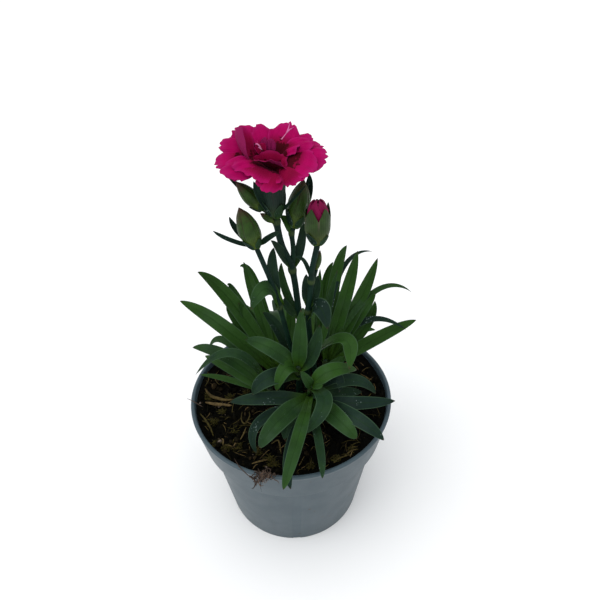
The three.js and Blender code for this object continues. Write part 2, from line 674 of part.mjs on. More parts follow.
function makeRightStem() {
  const solids = flowerStem(RIGHT_STEM, RIGHT_LEAVES, RIGHT_KNOTS, STEM_RADII.right);
  const [from, to, width] = BUDS.right;
  const whole = spindle(from, to, width, CUP_PROFILE, BUD_SIDES + 2);
  const cup = notches(from, to, width).reduce((rest, notch) => rest.subtract(notch), whole);
  solids.push(cup, ...scales(from, to, width, 4, 0.8));
  solids.push(bud(...BUDS.tiny_right), rod([[11.2, -1, 150], BUDS.tiny_right[0]], 0.9, 1));
  return union(solids).subtract(budPetals(GAP));
}

// ------------------------------------------------------------------ assembly

function feetInSoil() {
  const shoots = [...Object.values(SHOOTS), ...Object.values(BACK_SHOOTS)];
  const feet = shoots.map(({ foot }) => [...foot, SHOOT_RADIUS]);
  feet.push([...MAIN_STEM[0].slice(0, 2), STEM_RADII.main]);
  feet.push([...LEFT_STEM[0].slice(0, 2), STEM_RADII.left]);
  feet.push([...RIGHT_STEM[0].slice(0, 2), STEM_RADII.right]);
  return feet;
}

function makePlant() {
  const plant = new THREE.Group();
  plant.name = 'dianthus_plant';
  plant.add(toMesh('pot', makePot(), 0x5f6a70, 0.5));
  plant.add(toMesh('soil', makeSoil(feetInSoil()), 0x1d1610, 1));
  for (const [name, shoot] of Object.entries(SHOOTS)) {
    plant.add(toMesh(name, makeShoot(shoot), 0x2f5a2a, 0.6));
  }
  for (const [name, rule] of Object.entries(BACK_SHOOTS)) {
    const shoot = { foot: rule.foot, top: [...rule.foot, BACK_TOP], leaves: backLeaves(rule) };
    plant.add(toMesh(name, makeShoot(shoot), 0x2f5a2a, 0.6));
  }
  plant.add(toMesh('main_flower_stem', makeMainStem(), 0x30503a, 0.6));
  plant.add(toMesh('bloom_petals', makeBloom(), 0xb00a62, 0.7));
  plant.add(toMesh('left_bud_stem', makeLeftStem(), 0x3e5a34, 0.6));
  plant.add(toMesh('right_bud_stem', makeRightStem(), 0x3e5a34, 0.6));
  plant.add(toMesh('right_bud_petals', budPetals(0), 0x9a1050, 0.7));
  return plant;
}

export default makePlant();
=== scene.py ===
"""Looks of a potted dianthus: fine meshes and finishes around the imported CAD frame.

Lists of places are in millimetres, in the row frame: +Z up, the origin in the middle
of the pot's base. Meshes are scaled to metres when they are made.
"""

import math
import random

import bpy
import bmesh
import numpy as np
from mathutils import Matrix, Vector, noise


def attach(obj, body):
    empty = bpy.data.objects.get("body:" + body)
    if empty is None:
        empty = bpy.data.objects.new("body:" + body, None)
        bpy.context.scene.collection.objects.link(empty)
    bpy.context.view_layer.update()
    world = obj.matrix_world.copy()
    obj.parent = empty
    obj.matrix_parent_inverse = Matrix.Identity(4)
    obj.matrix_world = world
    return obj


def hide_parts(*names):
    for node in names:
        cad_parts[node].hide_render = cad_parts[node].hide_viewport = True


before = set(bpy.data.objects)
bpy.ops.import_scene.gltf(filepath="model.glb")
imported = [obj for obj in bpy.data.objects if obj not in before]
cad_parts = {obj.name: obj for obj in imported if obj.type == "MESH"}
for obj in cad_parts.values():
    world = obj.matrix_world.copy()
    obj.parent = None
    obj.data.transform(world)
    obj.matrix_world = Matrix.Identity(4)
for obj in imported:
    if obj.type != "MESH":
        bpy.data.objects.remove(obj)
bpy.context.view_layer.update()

MM = 0.001
SEED = 1868
# The span of random headings, in radians.
HEADINGS = 6.28

# --- dimensions

RIM_RADIUS = 52.5
POT_HEIGHT = 80.0
BASE_RADIUS = 38.0
COLLAR_RADIUS = 49.0
COLLAR_FOOT = 60.0
COLLAR_STEP = 3.0
POT_WALL = 1.4
POT_FLOOR = 2.5
LIP_WIDTH = 2.2
LIP_ROUND = 0.8
POT_CORNER = 0.6
POT_SIDES = 160
CORNER_STEPS = 4

DRAIN_HOLES = 6
DRAIN_RADIUS = 3.5
DRAIN_CIRCLE = 24.0
DRAIN_CUT = 5.0
GROOVE_WIDTH = 4.0
GROOVE_DEPTH = 1.0
GROOVE_END = 62.0

SOIL_TOP = 75.4
SOIL_RADIUS = 49.8
SOIL_BANK = 2.6
BANK_RADIUS = 42
SOIL_DISH = 0.9
SOIL_LUMP = 0.55
SOIL_CRUMB = 0.8
# Sizes of the coarse, middle and fine lumps of its surface.
SOIL_LUMPS = (5.0, 2.2, 0.9)
SOIL_GAP = 0.3
SOIL_RINGS = 90
SOIL_SIDES = 300

STEM_CLEAR = 79.0
STEM_START = 71.0
SHOOT_RADIUS = 1.35
TWIG_RADIUS = 0.9
BRANCH_RADIUS = 1.15
STEM_SIDES = 18

LEAF_FOLD = 0.16
LEAF_CLASP = 0.3
LEAF_WAVE = 0.25
WAVE_RATE = 8
WAVE_WIDTH = 7
LEAF_KEEL = 0.85
LEAF_EDGE = 0.22
LEAF_KEEL_REACH = 0.3
LEAF_THINNING = 0.7
EDGE_THINNING = 0.75
LEAF_ROWS = 26
# Rows crowd towards the tip by this power, and stop just short of it.
LEAF_CROWDING = 1.5
LEAF_END = 0.998
LEAF_ACROSS = (-1, -0.97, -0.88, -0.68, -0.42, -0.18, -0.07, 0, 0.07, 0.18, 0.42, 0.68, 0.88, 0.97, 1)
KEEL_GROOVE = 0.22
KEEL_RIDGE = 0.2
GROOVE_REACH = 0.32

PETAL_ROWS = 24
PETAL_COLUMNS = 65
PETAL_ROUNDING = 0.26
PETAL_TOOTH = 0.075
PETAL_DROOP = 0.6
PETAL_CROWDING = 1.35
TOOTH_WIDTH = 5
# A ripple is (height, power of the place along, multiple of the phase, rate across).
PETAL_RIPPLES = ((0.9, 2, 1, 3.4), (0.3, 4, 3, 11), (0.05, 1, 2, 21))
PETAL_BODY = 0.5
PETAL_EDGE = 0.16

# Blades turn their upper face towards this direction, by this much of their
# own curve and the rest by their chord.
LIGHT = np.array([0.0, -0.548, 0.837])
TWIST = 0.7

# --- shoots
# A leaf is (height on its stem, middle point, tip, width, waxy blue from 0 to 1, which
# also darkens the leaf as painted shade), and the direction its upper face turns to where
# that is not the light.

FRONT_LEAVES = [
    (93, (1, -50, 100), (-5, -64.5, 91), 6.2, 0.42),
    (91, (-6, -35, 99), (-15, -44, 92), 9, 0.5),
    (89, (-12, -15, 92), (-31, -11, 86), 7, 0.85),
    (90, (21, -32, 95), (29, -40, 90), 9, 0.42),
    (88, (28, -32, 96), (41, -43, 92), 7.5, 0.85),
    (86, (31, -18, 89), (52, -15, 86), 7, 1.0),
    (93, (30, -9, 96), (43, -10, 86), 6.5, 0.8),
    (98, (19, -14, 108), (33, -7, 101), 8, 0.1),
    (96, (19, -8, 102), (28, 3, 101), 6.5, 0.35),
    (99, (8, -17, 105), (5, -16, 111), 5, 0.4),
    (99, (13, -19, 103), (15, -21, 106), 3, 0.2),
    (97, (15, -28, 101), (4.6, -36.6, 90.4), 8, 0.65),
    (85, (12, -42, 89), (12.2, -55, 83), 4.2, 0.65),
    (84, (-15, -28, 91), (-17, -39, 81), 5, 0.85),
    (85, (-1.2, -44, 89.5), (-1.7, -60, 84), 6, 0.9),
    (94, (22, -10, 99), (24, -13, 92), 6, 0.95),
    (89, (24, -12, 90), (36, -9, 87), 6, 0.7),
    (86, (0, -26, 90), (-4, -35, 85), 7, 0.75),
    (90, (11.5, -18.5, 96.5), (14.4, -21.5, 97.8), 3.4, 0.6),
    (90, (8.6, -16.5, 95), (8.8, -18, 99), 2.4, 0.3),
]
ROSETTE_LEAVES = [
    (104, (-8, -9, 119), (-21, 0, 118), 8, 0.5),
    (102, (-2, -14, 111), (-7, -17, 99), 7.5, 0.0),
    (106, (5, -9, 121), (6, -5, 139), 7.5, 0.42),
    (103, (11, -9, 116), (14, -8, 132), 7.5, 0.68),
    (98, (-10, -14, 105), (-19, -14, 94), 8.5, 0.8),
    (104, (16.6, -3, 122), (14, 2.5, 129.5), 3.6, 0.0),
    (103, (25, -4, 118.5), (28, -14, 108.5), 10.5, 0.15, (-0.38, 0.32, 0.87)),
]
LEFT_LEAVES = [
    (86, (-31, 8, 118), (-52, 13, 133), 8, 0.0),
    (88, (-26, 14, 128), (-41, 12, 150), 8, 0.0),
    (85, (-22, 12, 112), (-30, 13, 128), 6, 0.1),
    (90, (-16, 30, 126), (-23, 30, 140), 6, 0.1),
    (89, (-15, 17, 125), (-20, 19, 150), 6, 0.15),
    (90, (-17, 14, 113), (-24, 13, 130), 8, 0.2),
    (88, (-25, 32, 116), (-31, 35, 125), 4, 0.4),
    (89, (1.2, 14, 113), (-1, 17, 137.5), 5.5, 0.1),
]
LOW_LEFT_LEAVES = [
    (85, (-32, 6, 101), (-50, 12, 103), 7, 0.5),
    (86, (-27, -1, 110), (-49, 3, 92), 4.8, 0.6),
    (84, (-31, 13, 104), (-43, 19, 95), 4.5, 0.5),
    (83, (-28, 5, 92), (-46, 19, 90), 7.5, 0.1),
    (82, (-31, 3, 87), (-48, 8, 87), 3.4, 0.05),
]
RIGHT_LEAVES = [
    (90, (24, 25, 130), (30, 27, 152), 6.5, 0.0),
    (89, (29, 21, 122), (35, 25, 150), 7.5, 0.0),
    (88, (35, 20, 118), (45, 24, 146), 7.5, 0.0),
    (87, (36, 18, 112), (44, 17, 130), 5.5, 0.2),
    (86, (39, 18, 105), (44.6, 20, 122.5), 6.5, 0.3),
    (90, (19, 26, 122), (24, 31, 140), 5, 0.0),
    (89, (16.3, 16, 118), (16.2, 16.5, 146), 4.5, 0.1),
    (88.5, (19.5, 13.5, 118), (24.6, 17, 144.5), 4, 0.5),
    (90, (26.5, 26, 134.4), (44.3, 35, 142.8), 2.8, 0.9),
    (87, (41.5, 21, 125), (65, 27, 122), 3.2, 0.45),
    (85, (46, 11, 105), (64, 9, 118), 7, 0.1),
    (87, (38.5, 17, 111.2), (58.4, 5, 115.2), 3.6, 0.9),
]
# A shoot is (foot, top of its stem, leaves).
SHOOTS = {
    "front_shoot": ((9, -12), (10, -15, 100), FRONT_LEAVES),
    "rosette_shoot": ((4, -4), (4, -8, 107), ROSETTE_LEAVES),
    "left_shoot": ((-5, 5), (-6, 6, 91), LEFT_LEAVES),
    "low_left_shoot": ((-11, -3), (-11, -3, 87), LOW_LEFT_LEAVES),
    "right_shoot": ((19, 11), (19, 12, 91), RIGHT_LEAVES),
}

# Shoots at the back fan out low behind the others, by a rule.
# Each is (foot, first and last heading in degrees, number of leaves, phase).
BACK_SHOOTS = {
    "back_left_shoot": ((-4, 20), 84, 152, 8, 0.4),
    "back_right_shoot": ((12, 23), 26, 96, 9, 3.6),
}
BACK_TOP = 90
# Leaves start in turn from these heights on the stem.
BACK_STARTS = (84, 89)
# A back leaf draws its waxy blue at random up to this; the waxy blue also darkens a leaf as painted shade.
BACK_WAX_MOST = 0.7
# Each is (usual value, variation).
BACK_REACH = (46, 9)
BACK_RISE = (9, 6)
BACK_DROOP = (7, 6)
BACK_WIDTH = (6.3, 0.9)
# The middle of a leaf is this share of its reach out, and its heading sways by degrees.
BACK_MIDDLE = 0.52
BACK_SWING = 3
BACK_SWEEP = 5
# How fast swing, sweep, reach, rise, droop and width change from leaf to leaf.
BACK_RATES = (5.3, 1.7, 2.4, 4.1, 3.3, 2.9)

# --- flower stems
# A leaf of a flower stem is (foot, middle point, tip, width, waxy blue, which also
# darkens the leaf as painted shade).

MAIN_STEM_LEAVES = [
    ((2.8, 6.5, 153), (-2, 4, 164), (-6, 1, 172), 4.5, 0.8),
    ((2.8, 6.5, 153), (7, 11, 163), (8, 12, 175), 4.5, 0.8),
    ((6, 6.5, 124), (0, 3, 134), (-1, 3, 140), 4, 0.7),
    ((6, 7, 121), (-1, 9, 141), (-2, 11, 154), 4, 0.5),
    ((3, 9, 170.8), (1.5, 8, 176), (-1.8, 8, 179.8), 4.8, 0.1),
    ((-3.6, 5, 181), (-8.6, 1.2, 190.6), (-11.2, -0.4, 199.6), 4, 0.95),
    ((-3.6, 5, 181), (3, 0, 190), (9, -2, 198), 1.6, 0.9),
    ((-8, 4.2, 184), (-17, 4, 195), (-21, 3, 200), 2.4, 0.9),
    ((4.4, 9, 174), (10, 12, 186), (11, 11, 197), 4.5, 0.9),
]
LEFT_STEM_LEAVES = [
    ((-4, -1, 138), (-9, -6, 152), (-16, -10, 144), 8, 0.5),
    ((-4, -1, 138), (-6, 3, 154), (-5, 5, 166), 5.5, 0.8),
    ((2, 0.5, 100), (-5, 4, 120), (-12, 5, 130), 6, 0.75),
    ((-12, -2.5, 171), (-22, -5, 176.4), (-28.5, -6, 181.7), 2.2, 0.9),
    ((-11.4, -2.5, 171.6), (-6, -3.4, 176.2), (-2, -5, 179.3), 3, 0.8),
    ((-12, -2.5, 171), (-19, -1, 178), (-22, -1, 185), 3, 0.9),
]
RIGHT_STEM_LEAVES = [
    ((10.8, -1, 152), (8, -1, 162), (4, -2, 165), 2, 0.8),
    ((9.6, 0.4, 136), (9, 3, 144), (9, 4, 152), 5, 0.8),
    ((9.6, 0.4, 136), (13, 3, 143), (14, 4, 151), 5, 0.8),
    ((9.6, 0.3, 129), (14.4, -4, 139), (17.8, -9, 130), 9, 0.85),
]
# A flower stem is (path, radius, knots, leaves), and the ends of a twig where it has one.
FLOWER_STEMS = {
    "main_flower_stem": (
        [(9, 6, 88), (5.4, 6.5, 128), (2.8, 6.5, 153), (-1.6, 6, 167), (-3.6, 5, 181)], 1.55,
        [(6, 6.5, 122), (2.8, 6.5, 153), (-3.2, 5.2, 179)], MAIN_STEM_LEAVES,
        ((-3.6, 5, 181), (-8.5, 4.4, 184.9)),
    ),
    "left_bud_stem": (
        [(5, 1, 88), (-0.5, 0, 119), (-4, -1, 140), (-7.4, -2, 155), (-12, -2.5, 171)], 1.2,
        [(-4, -1, 138), (2, 0.5, 100)], LEFT_STEM_LEAVES,
    ),
    "right_bud_stem": (
        [(13, 2, 88), (9.6, 0.4, 128), (10.8, -1, 150), (11.3, -2, 159), (13.5, -3, 172)], 1.35,
        [(9.6, 0.3, 134), (10.8, -1, 152)], RIGHT_STEM_LEAVES,
        ((11.2, -1, 150), (13.2, 0, 157)),
    ),
}
BRANCH = [(2.8, 6.5, 153), (3.5, 8, 163), (3, 9, 171), (4.4, 9, 174)]
BRANCH_KNOT = (3, 9, 171)

# A bud is (base, tip, width), and so are the calyx and the dark core of the open bloom.
BUDS = {
    "bloom": ((-3.6, 5, 181), (-4.6, 4, 200), 12.2),
    "bloom_core": ((-4, 5, 195), (-4, 3.4, 205), 8),
    "behind_left": ((-8.5, 4.4, 184.9), (-18.3, 2, 198.6), 6.4),
    "behind_right": ((4.4, 9, 173.5), (8.6, 9, 195.5), 9.6),
    "tiny_left": ((-4.4, 3.4, 179.4), (-9.6, 1.2, 184.9), 3.0),
    "left": ((-12, -2.5, 171), (-17.5, -4, 190.5), 8.8),
    "right": ((13.4, -3, 172), (13.4, -4, 193.5), 10.6),
    "tiny_right": ((13.2, 0, 157), (14.8, 0, 167), 3),
}
# The scales at the foot of a bud are (first turn, reach, spread, flare).
SCALES = {
    "bloom": (0.6, 0.5, 0.72, 0.5),
    "behind_left": (0.5, 0.3, 0.8, 0.0),
    "behind_right": (0.5, 0.42, 0.72, 0.5),
    "left": (0.8, 0.34, 0.7, 0.3),
    "right": (0.8, 0.34, 0.75, 0.3),
}

# --- open bloom
# A petal is (middle point, tip, width, ruffle phase, cup, curl, throat, facing): cup lifts
# its sides and curl lifts its end, in millimetres, throat tells from 0 to 1 how far its
# dark foot reaches, with 1 more where its whole face is painted dark as shade, and its upper
# face turns to facing. A last value, where there is one, is the radius of the roll along its
# left side. Each starts in the mouth of the calyx.

MOUTH = (-4, 4, 200)
# Their feet stand in a ring round it.
FOOT_RING = 1.4
FOOT_HEIGHT = 2.4
FLAT = (0.0, -0.15, 1.0)
PETALS = [
    ((0.2, 10.5, 210), (3.3, 17.5, 216.1), 12.5, 0.0, 0.8, 0.0, 0.7, LIGHT),
    ((-6.6, 11, 209.6), (-9.4, 17, 215.2), 11, 1.1, 0.6, 0.0, 0.6, LIGHT),
    ((-12.4, 11, 209.6), (-19.5, 13, 213.7), 15, 2.3, 0.4, 0.0, 0.5, LIGHT),
    ((-13.5, 6.4, 208.4), (-24, 5.8, 210), 14.5, 0.6, 0.2, 0.0, 0.7, LIGHT),
    ((-14.5, 2, 206.5), (-25.6, -0.4, 206.2), 15, 2.9, 0.0, 0.0, 0.99, LIGHT),
    ((-12.6, -1, 206.4), (-23.2, -4.6, 205.1), 11, 1.7, 0.0, -0.2, 0.3, LIGHT),
    ((-7.4, -2.8, 205.3), (-10.6, -9.3, 204.4), 18, 0.3, -0.4, -0.3, 1.0, (0.0, -0.38, 1.0)),
    ((-4.2, -5.4, 204), (-7.4, -12.3, 200.8), 10.6, 2.0, -0.6, -0.8, 1.1, LIGHT),
    ((1.6, -2.8, 204.7), (8.4, -7.8, 203.2), 10.5, 1.3, -0.4, -0.6, 1.1, LIGHT),
    ((4.4, -0.8, 206.3), (12, -5.8, 204.7), 16.5, 0.2, -0.6, -0.4, 0.75, LIGHT),
    ((7, 3, 206.8), (18, 2.6, 207.2), 12.5, 2.6, -0.2, -0.4, 0.6, LIGHT),
    ((6.5, 6.5, 208), (16.8, 7.8, 208.6), 12.5, 0.9, -0.4, -0.5, 0.5, LIGHT),
    ((4.6, 8.8, 208.6), (12.4, 12.4, 210.9), 12, 1.9, 0.0, 0.0, 0.5, LIGHT),
    ((-11, 0.4, 206.9), (-18.5, -4.9, 207.2), 7, 0.1, -0.3, -0.4, 0.6, FLAT),
    ((4.4, 6, 209.2), (12.8, 7.2, 211.2), 9.5, 0.8, 0.4, -0.5, 0.6, LIGHT),
    ((-14, 6.7, 209), (-16.5, 11, 217.4), 16.7, 1.2, 0.4, 0.0, 1.1, (0.15, -0.94, 0.32), 3.6),
    ((-3.8, -0.2, 206.4), (-3.6, -3.4, 208.3), 13.5, 2.2, 0.3, 0.0, 1.9, (0.3, 0.6, 0.75)),
    ((2, 4.8, 209), (7.4, 4.6, 211), 5, 0.5, -0.2, -0.2, 0.5, FLAT),
    ((-5.8, 6.5, 209.5), (-6.5, 7.2, 213.8), 3.6, 1.8, 0.6, 0.2, 0.3, (0, 0.85, 0.5)),
    ((-3.8, 6.5, 209.3), (-3.7, 7.4, 213.2), 3.6, 0.4, 0.6, 0.2, 0.3, (0, 0.85, 0.5)),
    ((-7.5, 5, 209.8), (-8.6, 6.2, 212), 4.5, 2.7, 0.8, 0.3, 1.4, LIGHT),
    ((-5.2, 2.6, 206), (-5.2, 4.2, 209.7), 15.5, 1.3, -1.2, 0.0, 1.9, (-0.1, -0.75, 0.65)),
    ((-0.6, 1.6, 204.6), (2.4, 0.2, 205.8), 9, 1.6, -0.5, 0.0, 1.9, (0.3, -0.75, 0.6)),
]
# A pale forked streak on the first petal, as shares along and across it.
STREAKS = [
    [(0.58, -0.1), (0.66, 0.02), (0.76, 0.14), (0.82, 0.17)],
    [(0.76, 0.13), (0.86, 0.14), (0.95, 0.12)],
    [(0.74, 0.12), (0.83, 0.26), (0.92, 0.42)],
]
STREAK_WIDTH = 0.6
STREAK_RISE = 0.28
STREAK_SINK = 0.05
# Two pale curling styles among the small petals in the middle.
STYLES = [
    [(-7.6, 4.8, 210), (-8.1, 4.4, 211.4), (-8.8, 4.3, 212.3), (-9.5, 4.6, 212.4), (-9.8, 5, 211.8)],
    [(-7.4, 4.8, 209.8), (-8, 4.4, 210.8), (-8.8, 4.4, 211.2)],
]
STYLE_RADIUS = 0.32
# The roll of a petal starts this far off its middle and turns by this many radians.
ROLL_START = 2.4
ROLL_TURN = 3.8
# The other side is this much narrower, and the end drops at the sides and in one dip.
ROLL_SHORT = 0.63
ROLL_DROP = 0.08
ROLL_DIP = 0.18

# --- litter on the soil
# A strand is (points on the soil, thickness, straw tone from 0 to 1).

STRANDS = [
    ([(-46.4, 7.4), (-43.2, 3.1), (-38.9, 0.7), (-35.1, -0.8), (-30.5, -1.0)], 1.9, 0.7),
    ([(-45.5, -1.7), (-38.6, -3.6), (-31.2, -5.0)], 2.1, 0.85),
    ([(-47.0, -10.5), (-43.7, -15.2), (-40.7, -20.2), (-39.3, -23.7)], 1.1, 0.55),
    ([(-25.8, -8.5), (-25.9, -14.0), (-23.7, -17.2), (-21.7, -12.4), (-22.2, -8.2)], 0.9, 0.6),
    ([(-23.2, -19.0), (-24.4, -24.2), (-26.3, -27.8)], 0.8, 0.7),
    ([(-10.5, -29.5), (-7.1, -28.5), (-5.9, -35.8)], 0.9, 0.65),
    ([(-19.7, -41.3), (-15.8, -40.4), (-11.9, -38.3)], 1.0, 0.75),
    ([(-35.3, -25.3), (-34.0, -27.4), (-34.0, -30.4)], 0.8, 0.8),
    ([(-46.0, 19.3), (-44.9, 13.1), (-46.6, 8.8)], 0.6, 0.6),
    ([(-40.0, 21.3), (-41.8, 15.2), (-39.2, 10.6), (-36.1, 13.4)], 0.6, 0.6),
    ([(17.2, -44.4), (21.7, -41.4), (27.7, -39.0)], 0.8, 0.6),
    ([(23.8, -39.9), (27.9, -37.3), (31.0, -36.4)], 0.7, 0.7),
    ([(38.9, 15.0), (44.6, 8.5)], 0.8, 0.7),
    ([(39.4, -4.1), (43.2, -0.1)], 0.6, 0.6),
    ([(1.4, -44.6), (5.0, -37.7)], 0.6, 0.7),
]
MOSS_TUFTS = [
    (-26.5, -30.7), (-33.0, 1.5), (-11.5, -37.9), (-9.3, -41.3), (-39.7, -14.8),
    (-32.0, -31.6), (-23.6, 3.8), (-37.6, -29.0), (-36.0, -8.0), (-29.0, -20.0),
    (-17.0, -33.0), (20.0, -41.0), (28.0, -36.0), (-44.0, 2.0), (8.0, -43.0),
]
PALE_STONES = [(-35.9, -27.3, 1.7), (-38.1, -4.0, 0.8), (-48.0, -2.7, 0.6), (-13, -43, 0.6)]
# The dried tuft hangs over the rim here.
TUFT_MIDDLE = (-13.4, -50.6, 80.2)
TUFT_STRANDS = 105
TUFT_TURNS = (-0.8, -0.3, 0.1, 0.5)
TUFT_LENGTHS = (0.8, 3.8)
TUFT_RADII = (0.08, 0.3)
# How its strands start: sideways by chance, then out and up within these ranges.
TUFT_SPREAD = 2.6
TUFT_OUT = (-2.0, 1.4)
TUFT_UP = (0.5, 1.6)
# The top of the tuft over the rim, and its fall for each millimetre past the rim.
TUFT_TOP = 2.4
TUFT_FALL = 1.5
# A fibre over the rim is (points, radius, straw tone, points along it).
RIM_FIBRES = [
    ([(-28, -38, 77), (-27.1, -40.6, 78.5), (-24.5, -45.8, 80.6), (-20, -50.6, 80.4),
      (-16, -52.8, 79)], 0.22, 0.45, 20),
    ([(-46, -6.2, 77.5), (-49.9, -5.2, 80.4), (-52.6, -3.9, 81.2), (-54.2, -3.0, 81)], 0.2, 0.8, 14),
    ([(-10.5, -50.5, 80.5), (-9.0, -52.6, 80.4), (-7.6, -53.2, 80), (-7.0, -53.3, 78)], 0.2, 0.7, 14),
]
CRUMBS = 1500
CRUMB_SIZES = (0.35, 1.9)
CRUMB_STRETCH = ((0.7, 1.3), (0.7, 1.3), (0.5, 0.9))
CRUMB_BUMPS = (0.72, 1.2)
CRUMB_RISE = 0.25
GRAINS = 110
GRAIN_SIZES = (0.2, 0.45)
FINE_FIBRES = 520
FIBRE_LENGTHS = (2.5, 8.5)
FIBRE_BEND = 0.16
FIBRE_RISES = (0.1, 1.8)
FIBRE_RADII = (0.08, 0.26)
# How high the middle line of a large and of a fine fibre lies above the soil.
FIBRE_LIFTS = (0.6, 0.3)
STRAND_SIDES = 5
MOSS_BLADES = 80
MOSS_SPREAD = 2.2
MOSS_SINK = 0.2
MOSS_LENGTHS = (0.7, 2.3)
MOSS_LEANS = (0.3, 1.3)
MOSS_RADII = (0.16, 0.22, 0.04)

# --- numbers


def smoothstep(low, high, value):
    t = np.clip((value - low) / (high - low), 0, 1)
    return t * t * (3 - 2 * t)


def bell(distance, reach):
    """1 in the middle, and close to 0 beyond about twice the reach."""
    return np.exp(-((distance / reach) ** 2))


def unit(vectors):
    vectors = np.asarray(vectors, float)
    return vectors / np.linalg.norm(vectors, axis=-1, keepdims=True)


def crossed(rows, columns):
    """Two like grids: the value of each row, and that of each column."""
    return np.meshgrid(rows, columns, indexing="ij")


def angles_round(count):
    return np.linspace(0, 2 * math.pi, count, endpoint=False)


def away(place, reach, heading):
    """The level place this far off in a direction."""
    return place[0] + reach * math.cos(heading), place[1] + reach * math.sin(heading)


def about_z(angle):
    """A turn about Z, for rows of points."""
    return np.array(Matrix.Rotation(angle, 3, "Z")).T


def curve_through(points, count):
    """Places spread evenly along a smooth curve through a few points."""
    points = np.asarray(points, float)
    if len(points) == 2:
        return points[0] + np.linspace(0, 1, count)[:, None] * (points[1] - points[0])
    knots = np.vstack([2 * points[0] - points[1], points, 2 * points[-1] - points[-2]])
    t = np.linspace(0, 1, 24, endpoint=False)[:, None]
    fine = [
        b + 0.5 * t * (c - a) + t * t * (a - 2.5 * b + 2 * c - 0.5 * d)
        + t ** 3 * (1.5 * (b - c) + 0.5 * (d - a))
        for a, b, c, d in zip(knots, knots[1:], knots[2:], knots[3:])
    ]
    fine = np.vstack([*fine, points[-1:]])
    length = np.concatenate([[0], np.cumsum(np.linalg.norm(np.diff(fine, axis=0), axis=1))])
    places = np.linspace(0, length[-1], count)
    return np.stack([np.interp(places, length, column) for column in fine.T], axis=1)


def lumps(points, size, seed=0.0):
    """Smooth noise from -1 to 1 at each point, with lumps of about this size."""
    shift = Vector((seed, seed * 1.7, -seed))
    return np.array([noise.noise(Vector(point) / size + shift) for point in points])


# --- meshes

MARKS = ("along", "across", "tone", "upper")


def quads(grid):
    """Faces between neighbouring rows and columns of a grid of point numbers."""
    corners = (grid[:-1, :-1], grid[:-1, 1:], grid[1:, 1:], grid[1:, :-1])
    return np.stack([corner.ravel() for corner in corners], axis=1).tolist()


def ring(grid):
    """The grid with its first column repeated at its end."""
    return np.hstack([grid, grid[:, :1]])


def pipe(rings):
    """A closed shape through rings of points, with flat ends."""
    rows, sides = rings.shape[:2]
    grid = np.arange(rows * sides).reshape(rows, sides)
    return rings.reshape(-1, 3), quads(ring(grid)) + [grid[0].tolist(), grid[-1].tolist()]


def rod(path, radii, sides):
    """A closed round rod along a path, with the length share of each point."""
    along = unit(np.gradient(path, axis=0))
    side = unit(np.cross(along[0], (0.3, 1.0, 0.2)))
    sides_of_path = []
    for direction in along:
        side = unit(side - direction * side.dot(direction))
        sides_of_path.append(side)
    side = np.array(sides_of_path)[:, None]
    other = np.cross(along, side[:, 0])[:, None]
    angle = angles_round(sides)[None, :, None]
    reach = np.broadcast_to(radii, len(path))[:, None, None]
    rings = path[:, None] + reach * (side * np.cos(angle) + other * np.sin(angle))
    return *pipe(rings), np.repeat(np.linspace(0, 1, len(path)), sides)


def closed_mesh(name, points, faces):
    """A mesh in metres from points in millimetres, with its faces turned outwards."""
    mesh = bpy.data.meshes.new(name)
    mesh.from_pydata((np.vstack(points) * MM).tolist(), [], faces)
    work = bmesh.new()
    work.from_mesh(mesh)
    bmesh.ops.recalc_face_normals(work, faces=work.faces)
    work.to_mesh(mesh)
    work.free()
    return mesh


def in_scene(name, data):
    """A new object in the scene, at the origin."""
    made = bpy.data.objects.new(name, data)
    bpy.context.scene.collection.objects.link(made)
    return made


class Piece:
    """Gathers closed shapes in millimetres, with marks on their points, into one object.

    The finishes are named, and a shape that names none has the first.
    """

    def __init__(self, name, *finishes):
        self.name = name
        self.finishes = finishes
        self.points = []
        self.faces = []
        self.face_finishes = []
        self.marks = {mark: [] for mark in MARKS}
        self.count = 0

    def add(self, points, faces, finish=None, **marks):
        points = np.reshape(points, (-1, 3))
        self.points.append(points)
        self.faces.extend([corner + self.count for corner in face] for face in faces)
        number = self.finishes.index(finish) if finish else 0
        self.face_finishes.extend([number] * len(faces))
        for mark in MARKS:
            values = np.ravel(marks.get(mark, 0.0))
            self.marks[mark].append(np.broadcast_to(values, len(points)))
        self.count += len(points)

    def add_rod(self, path, radii, sides, finish=None, **marks):
        points, faces, share = rod(path, radii, sides)
        self.add(points, faces, finish, along=share, **marks)

    def add_sheet(self, top, under, finish, along, across=0.0, tone=0.0, upper=(1.0, 0.0)):
        """Adds a closed thin sheet between two like grids of points."""
        over = np.arange(along.size).reshape(along.shape)
        below = over + along.size
        faces = quads(over) + quads(below[:, ::-1])
        for one, other in ((over, below), (over.T, below.T)):
            for edge in (0, -1):
                faces += quads(np.stack([one[edge], other[edge]]))
        across = np.broadcast_to(across, along.shape)
        self.add(
            np.stack([top, under]), faces, finish, along=np.tile(along.ravel(), 2),
            across=np.tile(across.ravel(), 2), tone=tone, upper=np.repeat(upper, along.size),
        )

    def make(self, slot, *nodes):
        mesh = closed_mesh(self.name, self.points, self.faces)
        for finish in self.finishes:
            mesh.materials.append(FINISHES[finish])
        mesh.polygons.foreach_set("material_index", self.face_finishes)
        mesh.polygons.foreach_set("use_smooth", [True] * len(mesh.polygons))
        for mark, values in self.marks.items():
            attribute = mesh.attributes.new(mark, "FLOAT", "POINT")
            attribute.data.foreach_set("value", np.concatenate(values))
        piece = in_scene(self.name, mesh)
        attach(piece, "root")
        if nodes:
            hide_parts(*nodes)
        return piece


# --- leaf and petal


